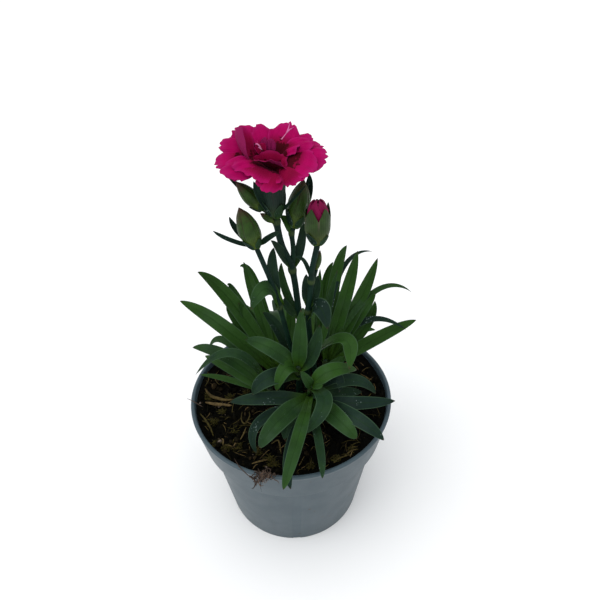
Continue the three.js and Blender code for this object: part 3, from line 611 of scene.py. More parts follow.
def blade_axes(base, mid, tip, t, facing=LIGHT):
    """Centre, side and upward directions of a blade at the places t on its curve."""
    base, mid, tip = np.array([base, mid, tip], float)
    t = t[..., None]
    control = 2 * mid - (base + tip) / 2
    centre = (1 - t) ** 2 * base + 2 * t * (1 - t) * control + t * t * tip
    along = unit((1 - t) * (control - base) + t * (tip - control))
    chord = unit(tip - base)
    side = np.cross(chord + TWIST * (along - chord), facing)
    side = unit(side - along * (side * along).sum(-1, keepdims=True))
    return centre, side, np.cross(side, along)


def leaf_width(t):
    return (0.5 + 0.5 * smoothstep(0, 0.35, t)) * (1 - t ** 4) ** 0.8


def leaf(piece, draw, base, mid, tip, width, wax_and_shade, facing=LIGHT):
    """A narrow blade with a keel groove, thin edges and a slight wave."""
    step = LEAF_END * (1 - (1 - np.linspace(0, 1, LEAF_ROWS)) ** LEAF_CROWDING)
    t, across = crossed(step, LEAF_ACROSS)
    centre, side, up = blade_axes(base, mid, tip, t, facing)
    half = width / 2 * leaf_width(t)
    fold = LEAF_FOLD + LEAF_CLASP * (1 - smoothstep(0, 0.22, t))
    phase = draw.uniform(0, HEADINGS)
    wave = LEAF_WAVE * np.sin(WAVE_RATE * t + phase) * across * np.abs(across)
    wave = wave * min(1, width / WAVE_WIDTH)
    rise = fold * 2 * half * (np.sqrt(across ** 2 + 0.01) - 0.1) + wave
    taper = 1 - LEAF_THINNING * smoothstep(0.6, 1, t)
    edge = 1 - smoothstep(0.8, 1, np.abs(across)) * EDGE_THINNING
    body = (LEAF_EDGE + (LEAF_KEEL - LEAF_EDGE) * bell(across, LEAF_KEEL_REACH)) * taper * edge
    near_keel = bell(across * half, GROOVE_REACH) * smoothstep(0, 0.1, t) * taper
    middle = centre + side * (half * across)[..., None] + up * rise[..., None]
    top = middle + up * (body / 2 - KEEL_GROOVE * near_keel)[..., None]
    under = middle - up * (body / 2 + KEEL_RIDGE * near_keel)[..., None]
    piece.add_sheet(top, under, "leaf", t, across, wax_and_shade)


def petal_width(t):
    return 0.22 + 0.78 * smoothstep(0.05, 0.75, t)


def saw(place):
    """A zigzag from 1 at each whole number to 0 halfway."""
    return np.abs(2 * (place - np.floor(place)) - 1)


def teeth(across, width, phase):
    """Depth, from 0 to 1, of the uneven notches along the end of a petal."""
    place = across * width / TOOTH_WIDTH + phase + 0.25 * np.sin(4 * across + 7 * phase)
    uneven = 0.6 + 0.4 * np.sin(5.1 * across + 3 * phase)
    return (0.84 * saw(place) ** 1.6 + 0.16 * saw(2.7 * place)) * uneven


def petal_surface(shape, t, across):
    """Places on the middle of a petal and its upward directions there."""
    base, mid, tip, width, phase, cup_rise, curl, _, facing, *roll = shape
    if roll:
        dip = ROLL_DIP * bell(across + 0.35, 0.3)
        place = t * (1 - ROLL_DROP * across ** 2 - dip)
    else:
        notch = PETAL_TOOTH * teeth(across, width, phase) * smoothstep(0.8, 1, t)
        place = t * (1 - PETAL_ROUNDING * across ** 2 * t) - notch
    centre, side, up = blade_axes(base, mid, tip, place, facing)
    half = width / 2 * petal_width(t) * np.where((across > 0) & bool(roll), ROLL_SHORT, 1)
    ripples = sum(
        height * t ** power * np.sin(multiple * phase + rate * across)
        for height, power, multiple, rate in PETAL_RIPPLES
    )
    bend = cup_rise * t * across ** 2 + curl * t ** 4 - PETAL_DROOP * t * across ** 2
    reach, lift = half * across, ripples + bend
    facing_up = up
    if roll:
        turn = np.clip((ROLL_START - reach) / roll[0], 0, ROLL_TURN) * smoothstep(0.1, 0.4, t)
        rest = np.minimum(reach, ROLL_START) + turn * roll[0]
        reach = np.where(turn > 0, rest - roll[0] * np.sin(turn), reach)
        lift = lift + roll[0] * (1 - np.cos(turn))
        facing_up = up * np.cos(turn)[..., None] + side * np.sin(turn)[..., None]
    return centre + side * reach[..., None] + up * lift[..., None], facing_up


def petal(piece, shape):
    """A fan with a rounded, toothed and ruffled end."""
    step = 1 - (1 - np.linspace(0, 1, PETAL_ROWS)) ** PETAL_CROWDING
    t, across = crossed(step, np.linspace(-1, 1, PETAL_COLUMNS))
    middle, up = petal_surface(shape, t, across)
    thin = smoothstep(0.3, 1, np.maximum(t, np.abs(across)))
    body = PETAL_BODY + (PETAL_EDGE - PETAL_BODY) * thin
    half = up * (body / 2)[..., None]
    piece.add_sheet(middle + half, middle - half, "petal", t, across, shape[7])


def streak(piece, shape, line):
    """A thin pale line on the upper face of a petal."""
    line = curve_through([(*place, 0) for place in line], 30)
    half = STREAK_WIDTH / shape[3] * (1 - 0.75 * np.linspace(0, 1, len(line)))
    t = np.repeat(line[:, :1], 2, axis=1)
    middle, up = petal_surface(shape, t, line[:, 1:2] + np.stack([-half, half], axis=1))
    top, under = middle + up * STREAK_RISE, middle - up * STREAK_SINK
    piece.add_sheet(top, under, "streak", t, upper=(1.0, 1.0))


# --- stems and buds

KNOT_SWELL = 0.4
KNOT_REACH = 1.9
SEPALS = 5
SEPAL_ROUNDING = 0.18
# A profile is a list of (length share, radius share).
BUD_PROFILE = [
    (0, 0.02), (0, 0.3), (0.12, 0.66), (0.32, 0.96), (0.52, 1), (0.76, 0.68), (0.93, 0.24), (1, 0.03),
]
CUP_PROFILE = [(0, 0.02), (0, 0.3), (0.12, 0.7), (0.32, 0.97), (0.5, 1), (0.68, 0.98), (0.9, 0.84)]
CALYX_PROFILE = [(0, 0.02), (0, 0.32), (0.12, 0.55), (0.4, 0.78), (1, 1), (1.2, 1.12)]
BUD_PETAL_PROFILE = [(0.3, 0.6), (0.5, 0.82), (0.68, 0.82), (0.82, 0.74), (0.93, 0.5), (1, 0.14)]
BUD_PETAL_START = 0.3
BUD_PETAL_TOPS = (0.99, 0.98, 0.93, 0.92, 0.96, 1.0)
BUD_PETAL_DIP = 0.34
BUD_PETAL_NOTCH = 0.03
BUD_PETAL_SPAN = 1.15
BUD_PETAL_BODY = 0.3
BUD_CORE_LENGTH = 0.56
BUD_CORE_GAP = 0.45
BUD_ROWS = 30
BUD_TWIST = 0.5
BUD_SIDES = 60
CUP_SIDES = 100
CUP_WALL = 0.55
# Length shares that the notches and teeth of an open calyx reach.
CALYX_NOTCH, CALYX_TOOTH = 0.97, 1.12
CUP_NOTCH, CUP_TOOTH = 0.56, 0.86
TOOTH_CURVE = 0.85
SEAM_REACH = 0.14
SEAM_DEPTH = 0.09
SEPAL_OVERLAP = 0.05
SCALE_BODY = 0.42
SCALE_GAP = 0.25
SCALE_CLASP = 0.35
# Length, flare and waxy blue of the inner and the outer pair; the waxy blue also darkens
# as painted shade.
SCALE_PAIRS = ((0.85, 0.6, 0.6), (1.05, 1.2, 0.9))


def stem(piece, path, radius, knots):
    """A slim rod that swells at its knots."""
    length = np.linalg.norm(np.diff(np.array(path, float), axis=0), axis=1).sum()
    line = curve_through(path, max(12, int(length / 0.9)))
    swell = np.zeros(len(line))
    for knot in knots:
        distance = np.linalg.norm(line - np.array(knot, float), axis=1)
        swell = np.maximum(swell, bell(distance, KNOT_REACH))
    taper = 1.03 - 0.1 * np.linspace(0, 1, len(line))
    radii = radius * taper * (1 + KNOT_SWELL * swell)
    piece.add_rod(line, radii, STEM_SIDES, "stem", tone=np.repeat(swell, STEM_SIDES), upper=1.0)


class Spindle:
    """Places round the line from the base to the tip of a bud, by length share and angle."""

    def __init__(self, base, tip, width, profile):
        self.base = np.array(base, float)
        self.axis = np.array(tip, float) - self.base
        self.side = unit(np.cross((1.0, 0.0, 0.0), self.axis))
        self.front = np.cross(unit(self.axis), self.side)
        self.half = width / 2
        fine = curve_through(profile, 80)
        self.share = np.maximum.accumulate(fine[:, 0])
        self.reach = fine[:, 1]

    def radius(self, t):
        return self.half * np.interp(t, self.share, self.reach)

    def place(self, t, angle, radius):
        out = self.side * np.cos(angle)[..., None] + self.front * np.sin(angle)[..., None]
        return self.base + self.axis * t[..., None] + out * radius[..., None]


def sepal_place(angle):
    """Place across a sepal, from -1 to 1, with its edges over the seams."""
    turn = angle / (2 * math.pi) * SEPALS + 0.5
    return 2 * (turn - np.floor(turn)) - 1


def bud(piece, base, tip, width):
    """A closed pointed bud with seams between its sepals."""
    form = Spindle(base, tip, width, BUD_PROFILE)
    t, angle = crossed(np.linspace(0, 1, BUD_ROWS) ** 0.9, angles_round(BUD_SIDES))
    across = sepal_place(angle)
    seam = bell(1 - np.abs(across), SEAM_REACH) * smoothstep(0.3, 0.75, t)
    overlap = SEPAL_OVERLAP * (across + 1) / 2 * smoothstep(0.45, 0.95, t)
    radius = form.radius(t) * (1 - SEAM_DEPTH * seam + overlap)
    rings = form.place(t, angle + BUD_TWIST * t, radius)
    piece.add(*pipe(rings), "bud", along=t, across=across, upper=1.0)


def cup(piece, base, tip, width, profile, notch, tooth, finish):
    """An open calyx with pointed teeth; one notch between them faces the front."""
    form = Spindle(base, tip, width, profile)
    share, angle = crossed(np.linspace(0, 1, BUD_ROWS), angles_round(CUP_SIDES))
    across = sepal_place(angle + math.pi / SEPALS)
    peak = 1 - (np.hypot(across, SEPAL_ROUNDING) - SEPAL_ROUNDING)
    rim = notch + (tooth - notch) * peak ** TOOTH_CURVE
    t = share * rim
    radius = form.radius(t)
    wall = np.minimum(CUP_WALL, radius * 0.5) * (1 - 0.7 * smoothstep(0.75, 1, share))
    outside = form.place(t, angle, radius)
    inside = form.place(np.maximum(t, 0.06), angle, radius - wall)
    along, across = np.vstack([t, t[::-1]]), np.vstack([across, across])
    rings = np.vstack([outside, inside[::-1]])
    piece.add(*pipe(rings), finish, along=along, across=across, upper=1.0)


def scales(piece, name, profile=BUD_PROFILE):
    """Two pairs of pointed scales that clasp the foot of a bud, the inner pair shorter."""
    first_turn, reach, spread, flare = SCALES[name]
    form = Spindle(*BUDS[name], profile)
    share, across = crossed(np.linspace(0, 1, 14), np.linspace(-1, 1, 13))
    narrow = (1 - share ** 2.4) * (0.75 + 0.25 * smoothstep(0, 0.4, share)) + 0.02
    body = SCALE_BODY * (1 - 0.7 * np.abs(across) ** 3) * (1 - 0.5 * share)
    for n in range(4):
        length, lift, wax_and_shade = SCALE_PAIRS[n % 2]
        t = 0.01 + reach * length * share
        rise = flare * lift * share ** 2
        radius = form.radius(t) + SCALE_GAP + rise - SCALE_CLASP * across ** 2 * (1 - share)
        turn = first_turn + n * math.pi / 2 + spread * across * narrow
        top, under = form.place(t, turn, radius + body), form.place(t, turn, radius)
        piece.add_sheet(top, under, "leaf", share, across, wax_and_shade)


def rolled_petals(piece, base, tip, width):
    """Petals that are still rolled round each other and a core in the mouth of a bud."""
    form = Spindle(base, tip, width, BUD_PETAL_PROFILE)
    lengths = BUD_PETAL_START + BUD_CORE_LENGTH * np.sin(np.linspace(0, math.pi / 2, 16))
    t, angle = crossed(lengths, angles_round(32))
    shut = np.sqrt(np.linspace(1, 0.001, 16))[:, None]
    radius = (form.radius(t) - BUD_CORE_GAP) * shut
    piece.add(*pipe(form.place(t, angle, radius)), along=0.5, upper=1.0)
    share, across = crossed(np.linspace(0, 1, 20), np.linspace(-1, 1, 31))
    for n, highest in enumerate(BUD_PETAL_TOPS):
        dip = BUD_PETAL_DIP * np.abs(across) ** 1.6
        top = highest - dip - BUD_PETAL_NOTCH * teeth(across, 9, 0.37 * n)
        t = BUD_PETAL_START + (top - BUD_PETAL_START) * share
        angle = 0.5 + n * math.pi / 3 + BUD_PETAL_SPAN * across
        radius = np.maximum(form.radius(t) * (0.94 + 0.08 * across) - 0.1 * (n % 2), 0.35)
        outside = form.place(t, angle, radius)
        inside = form.place(t, angle, radius - BUD_PETAL_BODY)
        piece.add_sheet(outside, inside, None, 0.55 + 0.45 * share, across, upper=(0.0, 1.0))


# --- shoots, stems


def stem_centre(foot, top, height):
    t = max(0, (height - STEM_CLEAR) / (top[2] - STEM_CLEAR))
    return foot[0] + (top[0] - foot[0]) * t, foot[1] + (top[1] - foot[1]) * t, height


def back_leaves(draw, foot, start, end, count, phase):
    """Rows for the leaves of a back shoot, which fan out between two headings in degrees."""
    leaves = []
    for n in range(count):
        swing, sweep, far, high, drop, wide = (math.sin(phase + rate * n) for rate in BACK_RATES)
        heading = math.radians(start + (end - start) * n / (count - 1) + BACK_SWING * swing)
        turned = heading + math.radians(BACK_SWEEP * sweep)
        reach = BACK_REACH[0] + BACK_REACH[1] * far
        height = BACK_STARTS[n % 2]
        top = height + BACK_RISE[0] + BACK_RISE[1] * high
        end_height = top - (BACK_DROOP[0] + BACK_DROOP[1] * drop)
        mid = (*away(foot, reach * BACK_MIDDLE, heading), top)
        tip = (*away(foot, reach, turned), end_height)
        width = BACK_WIDTH[0] + BACK_WIDTH[1] * wide
        leaves.append((height, mid, tip, width, draw.uniform(0, BACK_WAX_MOST)))
    return leaves


def make_shoot(name, draw, foot, top, leaves):
    """A short leafy stem with a swollen knot under each pair of leaves."""
    piece = Piece(f"{name}_foliage", "leaf", "stem")
    knots = [stem_centre(foot, top, height - 0.5) for height, *_ in leaves]
    stem(piece, [(*foot, STEM_START), (*foot, STEM_CLEAR), top], SHOOT_RADIUS, knots)
    for height, *blade in leaves:
        leaf(piece, draw, stem_centre(foot, top, height), *blade)
    piece.make("leaf", name)


def flower_stem(name, draw, *more_finishes):
    """A flower stem with its knots, leaves and twig, not yet made."""
    path, radius, knots, leaves, *twig = FLOWER_STEMS[name]
    piece = Piece(f"{name}_and_leaves", "leaf", "stem", *more_finishes)
    x, y, _ = path[0]
    stem(piece, [(x, y, STEM_START), (x, y, STEM_CLEAR), *path], radius, knots)
    for blade in leaves:
        leaf(piece, draw, *blade)
    for ends in twig:
        stem(piece, ends, TWIG_RADIUS, [])
    return piece


def make_main_stem(draw):
    piece = flower_stem("main_flower_stem", draw, "bud", "calyx")
    stem(piece, BRANCH, BRANCH_RADIUS, [BRANCH_KNOT])
    for name in ("behind_left", "behind_right", "tiny_left"):
        bud(piece, *BUDS[name])
    scales(piece, "behind_right")
    scales(piece, "behind_left")
    cup(piece, *BUDS["bloom"], CALYX_PROFILE, CALYX_NOTCH, CALYX_TOOTH, "calyx")
    scales(piece, "bloom", CALYX_PROFILE)
    piece.make("stem", "main_flower_stem")


def make_left_stem(draw):
    piece = flower_stem("left_bud_stem", draw, "bud")
    bud(piece, *BUDS["left"])
    scales(piece, "left")
    piece.make("stem", "left_bud_stem")


def make_right_stem(draw):
    piece = flower_stem("right_bud_stem", draw, "bud", "open_bud")
    cup(piece, *BUDS["right"], CUP_PROFILE, CUP_NOTCH, CUP_TOOTH, "open_bud")
    scales(piece, "right")
    bud(piece, *BUDS["tiny_right"])
    piece.make("stem", "right_bud_stem")


def make_bloom():
    """The open bloom: its petals in layers round a dark core."""
    bloom = Piece("open_bloom", "petal", "streak")
    x, y, z = MOUTH
    shapes = []
    for mid, tip, *rest in PETALS:
        foot = away(MOUTH, FOOT_RING, math.atan2(tip[1] - y, tip[0] - x))
        shapes.append(((*foot, z + FOOT_HEIGHT), mid, tip, *rest))
    for shape in shapes:
        petal(bloom, shape)
    for line in STREAKS:
        streak(bloom, shapes[0], line)
    for style in STYLES:
        add_strand(bloom, style, STYLE_RADIUS, 0.0, 16, "streak")
    core = Spindle(*BUDS["bloom_core"], BUD_PROFILE)
    t, angle = crossed(np.linspace(0, 1, 12), np.linspace(0, HEADINGS, 24, endpoint=False))
    bloom.add(*pipe(core.place(t, angle, core.radius(t))), upper=1.0)
    bloom.make("petal", "bloom_petals")


def make_opening_petals():
    petals = Piece("opening_petals", "bud_petal")
    rolled_petals(petals, *BUDS["right"])
    petals.make("petal", "right_bud_petals")


# --- pot


def rounded(corners, reach):
    """The outline with each inner corner replaced by a short curve."""
    corners = [np.array(corner, float) for corner in corners]
    outline = [corners[0]]
    for before, corner, after in zip(corners, corners[1:], corners[2:]):
        back = min(reach, np.linalg.norm(before - corner) / 2.2)
        forth = min(reach, np.linalg.norm(after - corner) / 2.2)
        start = corner + unit(before - corner) * back
        end = corner + unit(after - corner) * forth
        for t in np.linspace(0, 1, CORNER_STEPS + 1):
            outline.append((1 - t) ** 2 * start + 2 * t * (1 - t) * corner + t * t * end)
    outline.append(corners[-1])
    return np.array(outline)


def lathe(outline, sides):
    """A closed shape turned about Z from an outline that starts and ends on the axis."""
    angle = angles_round(sides)
    radius = outline[1:-1, 0][:, None]
    height = np.broadcast_to(outline[1:-1, 1][:, None], (len(outline) - 2, sides))
    rings = np.stack([radius * np.cos(angle), radius * np.sin(angle), height], axis=-1)
    grid = np.arange(height.size).reshape(height.shape)
    faces = quads(ring(grid))
    for pole, row in ((height.size, grid[0]), (height.size + 1, grid[-1])):
        faces += [[pole, a, b] for a, b in zip(row, np.roll(row, -1))]
    poles = [(0, 0, outline[0, 1]), (0, 0, outline[-1, 1])]
    return np.vstack([rings.reshape(-1, 3), poles]), faces


def pot_outline():
    shoulder = COLLAR_RADIUS - COLLAR_STEP
    inner = RIM_RADIUS - LIP_WIDTH
    return rounded([
        (0, 0),
        (BASE_RADIUS, 0),
        (shoulder, COLLAR_FOOT - 1.5),
        (COLLAR_RADIUS, COLLAR_FOOT),
        (RIM_RADIUS - 0.4, POT_HEIGHT - 2),
        (RIM_RADIUS, POT_HEIGHT - LIP_ROUND),
        (RIM_RADIUS - LIP_ROUND / 2, POT_HEIGHT),
        (inner + LIP_ROUND / 2, POT_HEIGHT),
        (inner, POT_HEIGHT - LIP_ROUND),
        (COLLAR_RADIUS - POT_WALL, COLLAR_FOOT + 1),
        (shoulder - POT_WALL, COLLAR_FOOT - 2.5),
        (BASE_RADIUS - POT_WALL + 0.3, POT_FLOOR),
        (0, POT_FLOOR),
    ], POT_CORNER)


def drain_cutters():
    """Round holes through the floor, and grooves that lead from them to the edge."""
    holes, grooves = Piece("holes"), Piece("grooves")
    line = np.array([(DRAIN_CIRCLE, 0, -DRAIN_CUT), (DRAIN_CIRCLE, 0, DRAIN_CUT)])
    ends = ((DRAIN_CIRCLE, -1), (GROOVE_END, -1), (GROOVE_END, 1), (DRAIN_CIRCLE, 1))
    corners = [(x, y * GROOVE_WIDTH / 2, z * GROOVE_DEPTH) for z in (-1, 1) for x, y in ends]
    sides = [[0, 3, 2, 1], [4, 5, 6, 7], [0, 1, 5, 4], [1, 2, 6, 5], [2, 3, 7, 6], [3, 0, 4, 7]]
    for n in range(DRAIN_HOLES):
        angle = (n + 0.5) / DRAIN_HOLES * 2 * math.pi
        holes.add_rod(line @ about_z(angle), DRAIN_RADIUS, 32)
        grooves.add(corners @ about_z(angle), sides)
    return [in_scene(cut.name, closed_mesh(cut.name, cut.points, cut.faces)) for cut in (holes, grooves)]


def make_pot():
    pot = Piece("nursery_pot", "pot")
    pot.add(*lathe(pot_outline(), POT_SIDES), upper=1.0)
    made = pot.make("pot_plastic", "pot")
    cutters = drain_cutters()
    for cutter in cutters:
        cut = made.modifiers.new(cutter.name, "BOOLEAN")
        cut.operation = "DIFFERENCE"
        cut.solver = "EXACT"
        cut.object = cutter
    drained = made.evaluated_get(bpy.context.evaluated_depsgraph_get())
    mesh = bpy.data.meshes.new_from_object(drained)
    made.modifiers.clear()
    made.data = mesh
    mesh.set_sharp_from_angle(angle=math.radians(40))
    for cutter in cutters:
        bpy.data.objects.remove(cutter)


# --- soil and litter


def soil_height(x, y):
    waves = np.sin(x * 0.31 + 1.3) * np.sin(y * 0.27 - 0.6) + np.sin(x * 0.17 - y * 0.23)
    reach = np.hypot(x, y)
    bank = SOIL_BANK * np.clip((reach - BANK_RADIUS) / (SOIL_RADIUS - BANK_RADIUS), 0, 1)
    return SOIL_TOP - SOIL_DISH * reach / RIM_RADIUS + SOIL_LUMP * waves + bank


def crumbled(x, y):
    """Height of the soil with its crumbs."""
    flat = np.stack([x, y, np.zeros_like(x)], axis=1)
    coarse, middle, fine = (lumps(flat, size, seed) for size, seed in zip(SOIL_LUMPS, (0, 7, 3)))
    fade = 1 - 0.8 * smoothstep(SOIL_RADIUS - 2, SOIL_RADIUS, np.hypot(x, y))
    return soil_height(x, y) + SOIL_CRUMB * fade * (0.9 * coarse - 1.1 * np.abs(middle) + 0.35 * fine + 0.2)


def make_soil():
    wall = COLLAR_RADIUS - POT_WALL - SOIL_GAP
    outline = np.array([
        (0, POT_FLOOR + SOIL_GAP),
        (BASE_RADIUS - POT_WALL, POT_FLOOR + SOIL_GAP),
        (wall - COLLAR_STEP, COLLAR_FOOT - 2.5),
        (wall, COLLAR_FOOT + 1),
        *[(radius, SOIL_TOP) for radius in np.linspace(SOIL_RADIUS, 0, SOIL_RINGS)],
    ])
    points, faces = lathe(outline, SOIL_SIDES)
    top = points[:, 2] > SOIL_TOP - 0.01
    points[top, 2] = crumbled(points[top, 0], points[top, 1])
    soil = Piece("potting_soil", "soil")
    soil.add(points, faces, upper=1.0)
    soil.make("soil", "soil")


def litter_place(draw):
    """A random place on the soil."""
    reach = (SOIL_RADIUS - 1.5) * math.sqrt(draw.random())
    return away((0, 0), reach, draw.uniform(0, 2 * math.pi))


def pebble(detail):
    work = bmesh.new()
    bmesh.ops.create_icosphere(work, subdivisions=detail, radius=1)
    points = np.array([vertex.co for vertex in work.verts])
    faces = [[vertex.index for vertex in face.verts] for face in work.faces]
    work.free()
    return points, faces


def add_crumb(piece, draw, shape, x, y, size, tone):
    points, faces = shape
    bumps = np.array([draw.uniform(*CRUMB_BUMPS) for _ in points])[:, None]
    stretch = np.array([draw.uniform(low, high) for low, high in CRUMB_STRETCH])
    turn = about_z(draw.uniform(0, HEADINGS))
    centre = (x, y, soil_height(x, y) + size * CRUMB_RISE)
    piece.add((points * bumps * stretch * size) @ turn + centre, faces, tone=tone)


def make_crumbs(draw):
    """Peat crumbs, bits of bark and a few pale stones."""
    crumbs = Piece("soil_crumbs", "crumb")
    small, large = pebble(1), pebble(2)
    for _ in range(CRUMBS):
        x, y = litter_place(draw)
        size = CRUMB_SIZES[0] + (CRUMB_SIZES[1] - CRUMB_SIZES[0]) * draw.random() ** 3
        add_crumb(crumbs, draw, small, x, y, size, draw.random() ** 2 * 0.6)
    for x, y, size in PALE_STONES:
        add_crumb(crumbs, draw, large, x, y, size, 1.0)
    for _ in range(GRAINS):
        x, y = litter_place(draw)
        add_crumb(crumbs, draw, small, x, y, draw.uniform(*GRAIN_SIZES), draw.uniform(0.75, 1.0))
    crumbs.make("soil")


def add_strand(piece, points, radius, tone, count, finish=None):
    taper = 0.15 + 0.85 * np.sin(np.linspace(0.1, math.pi - 0.1, count)) ** 0.6
    piece.add_rod(curve_through(points, count), radius * taper, STRAND_SIDES, finish, tone=tone)


def resting(points, lift, draw, rise):
    """Points of a strand on the soil, arched a little between its ends."""
    return [
        (x, y, soil_height(x, y) + lift
         + rise * math.sin(math.pi * n / (len(points) - 1)) * draw.uniform(0.5, 1.2))
        for n, (x, y) in enumerate(points)
    ]


def make_fibres(draw):
    """Coir and moss fibres: the large ones listed, the fine ones at random."""
    fibres = Piece("coir_and_fibres", "fibre")
    for points, thickness, tone in STRANDS:
        add_strand(fibres, resting(points, FIBRE_LIFTS[0], draw, 1.0), thickness / 2, tone, 16)
    for _ in range(FINE_FIBRES):
        x, y = litter_place(draw)
        heading = draw.uniform(0, HEADINGS)
        length = draw.uniform(*FIBRE_LENGTHS)
        bend = draw.gauss(0, FIBRE_BEND)
        path = []
        for n in range(4):
            path.append((x, y))
            x, y = away((x, y), length / 3, heading + bend * n)
        if max(math.hypot(*place) for place in path) < SOIL_RADIUS - 0.8:
            places = resting(path, FIBRE_LIFTS[1], draw, draw.uniform(*FIBRE_RISES))
            add_strand(fibres, places, draw.uniform(*FIBRE_RADII), draw.random() ** 1.5, 8)
    fibres.make("soil")


def make_moss(draw):
    """Tufts of short pointed moss leaves."""
    moss = Piece("moss_tufts", "moss")
    for middle in MOSS_TUFTS:
        for _ in range(MOSS_BLADES):
            heading = draw.uniform(0, HEADINGS)
            spread = draw.uniform(0, MOSS_SPREAD)
            length = draw.uniform(*MOSS_LENGTHS)
            lean = draw.uniform(*MOSS_LEANS)
            x, y = away(middle, spread, heading * 3)
            foot = np.array([x, y, soil_height(x, y) - MOSS_SINK])
            out = np.array([*away((0, 0), lean, heading), 1.0]) * length / 2
            path = np.array([foot, foot + out + (0, 0, 0.3), foot + out * 1.8 + (0, 0, -0.2)])
            moss.add_rod(path, MOSS_RADII, 3, tone=draw.random())
    moss.make("soil")


def curled(draw, start, length, turn, count=7):
    """A path that coils over the rim from its start."""
    path = [np.array(start)]
    heading = draw.uniform(0, HEADINGS)
    pitch = draw.uniform(-0.5, 0.5)
    for _ in range(count):
        heading += turn * draw.uniform(0.4, 1.4)
        pitch = 0.6 * pitch + draw.uniform(-0.5, 0.5)
        way = np.array([*away((0, 0), math.cos(pitch), heading), math.sin(pitch)])
        spot = path[-1] + way * length / count
        over = max(0.0, math.hypot(spot[0], spot[1]) - RIM_RADIUS)
        spot[2] = min(spot[2], POT_HEIGHT + TUFT_TOP - TUFT_FALL * over)
        path.append(spot)
    return path


def make_dry_tuft(draw):
    """A frayed, curly dry tuft that hangs over the rim, with a few long thin fibres."""
    tuft = Piece("dry_tuft", "dry")
    middle = np.array(TUFT_MIDDLE)
    for _ in range(TUFT_STRANDS):
        aside = (draw.gauss(0, TUFT_SPREAD), draw.uniform(*TUFT_OUT), draw.uniform(*TUFT_UP))
        path = curled(draw, middle + aside, draw.uniform(*TUFT_LENGTHS), draw.choice(TUFT_TURNS))
        add_strand(tuft, path, draw.uniform(*TUFT_RADII), draw.random() ** 1.4, 16)
    for points, radius, tone, count in RIM_FIBRES:
        add_strand(tuft, points, radius, tone, count)
    tuft.make("soil")


# --- node trees


class Tree:
    """Adds nodes to the tree of a material or group.

    A value may be a number, a socket, or red, green and blue for a colour.
    """

    def __init__(self, tree):
        self.tree = tree
        self.column = 0

    def wire(self, value, socket):
        if isinstance(value, bpy.types.NodeSocket):
            self.tree.links.new(value, socket)
        elif socket.type == "RGBA":
            socket.default_value = (*value, 1.0)
        else:
            socket.default_value = value

    def add(self, kind, *values, **settings):
        """A node of a kind, with values for its first inputs."""
        node = self.tree.nodes.new(kind)
        node.location = (self.column * 180, -200 * (self.column % 4))
        self.column += 1
        for name, value in settings.items():
            setattr(node, name, value)
        for value, socket in zip(values, node.inputs):
            self.wire(value, socket)
        return node

    def fill(self, node, **inputs):
        """Wires the inputs of a node by name, and gives its outputs."""
        for name, value in inputs.items():
            self.wire(value, node.inputs[name.replace("_", " ")])
        return node.outputs

    def math(self, operation, a, b=0.0, c=0.0):
        return self.add("ShaderNodeMath", a, b, c, operation=operation).outputs[0]

    def times(self, a, b):
        return self.math("MULTIPLY", a, b)

    def plus(self, a, b):
        return self.math("ADD", a, b)

    def scaled(self, value, scale, offset):
        return self.math("MULTIPLY_ADD", value, scale, offset)

    def step(self, value, low, high, start=0.0, end=1.0):
        """A smooth step from start to end as the value goes from low to high."""
        values = (value, low, high, start, end)
        return self.add("ShaderNodeMapRange", *values, interpolation_type="SMOOTHSTEP").outputs[0]

    def mix(self, share, a, b, blend="MIX"):
        node = self.add("ShaderNodeMix", share, data_type="RGBA", blend_type=blend)
        self.wire(a, node.inputs[6])
        self.wire(b, node.inputs[7])
        return node.outputs[2]

    def shaded(self, skin, shade):
        """The colour times a shade."""
        grey = self.add("ShaderNodeCombineXYZ", shade, shade, shade).outputs[0]
        return self.mix(1.0, skin, grey, "MULTIPLY")

    def ramp(self, value, skin, *steps):
        """A colour that turns to others as the value grows: a step is (from, to, colour)."""
        for low, high, other in steps:
            skin = self.mix(self.step(value, low, high), skin, other)
        return skin

    def mark(self, name):
        """A named value of the mesh's points."""
        return self.add("ShaderNodeAttribute", attribute_name=name).outputs["Fac"]

    def place(self):
        return self.add("ShaderNodeTexCoord").outputs["Object"]

    def flattened(self, vector, share):
        """The place with its height scaled down, for marks that run up and down."""
        return self.fill(self.add("ShaderNodeMapping"), Vector=vector, Scale=(1.0, 1.0, share))[0]

    def noise(self, vector, scale, detail=3.0, roughness=0.55):
        node = self.add("ShaderNodeTexNoise")
        return self.fill(node, Vector=vector, Scale=scale, Detail=detail, Roughness=roughness)["Fac"]

    def cells(self, vector, scale):
        return self.fill(self.add("ShaderNodeTexVoronoi"), Vector=vector, Scale=scale)["Distance"]

    def bump(self, height, strength, distance):
        node = self.add("ShaderNodeBump")
        return self.fill(node, Height=height, Strength=strength, Distance=distance)["Normal"]

    def grain(self, place, scale, strength, distance, detail=3.0):
        """A fine noise as a bump."""
        return self.bump(self.noise(place, scale, detail), strength, distance)

    def use(self, group, **inputs):
        return self.fill(self.add("ShaderNodeGroup", node_tree=group), **inputs)

    def mottle(self, place, scale, dark, light):
        return self.use(MOTTLE, Place=place, Scale=scale, Dark=dark, Light=light)["Shade"]

    def fine_lines(self, across, along, count):
        return self.use(FINE_LINES, Across=across, Along=along, Count=count)["Height"]


def group(name, inputs, outputs, build):
    """A shader node group, filled by build, which takes the inputs in order.

    inputs and outputs give the kind of each named socket.
    """
    tree = bpy.data.node_groups.new(name, "ShaderNodeTree")
    for direction, sockets in (("INPUT", inputs), ("OUTPUT", outputs)):
        for socket, kind in sockets.items():
            tree.interface.new_socket(socket, in_out=direction, socket_type=f"NodeSocket{kind}")
    nodes = Tree(tree)
    given = nodes.add("NodeGroupInput").outputs
    results = build(nodes, *(given[socket] for socket in inputs))
    nodes.fill(nodes.add("NodeGroupOutput"), **dict(zip(outputs, results)))
    return tree


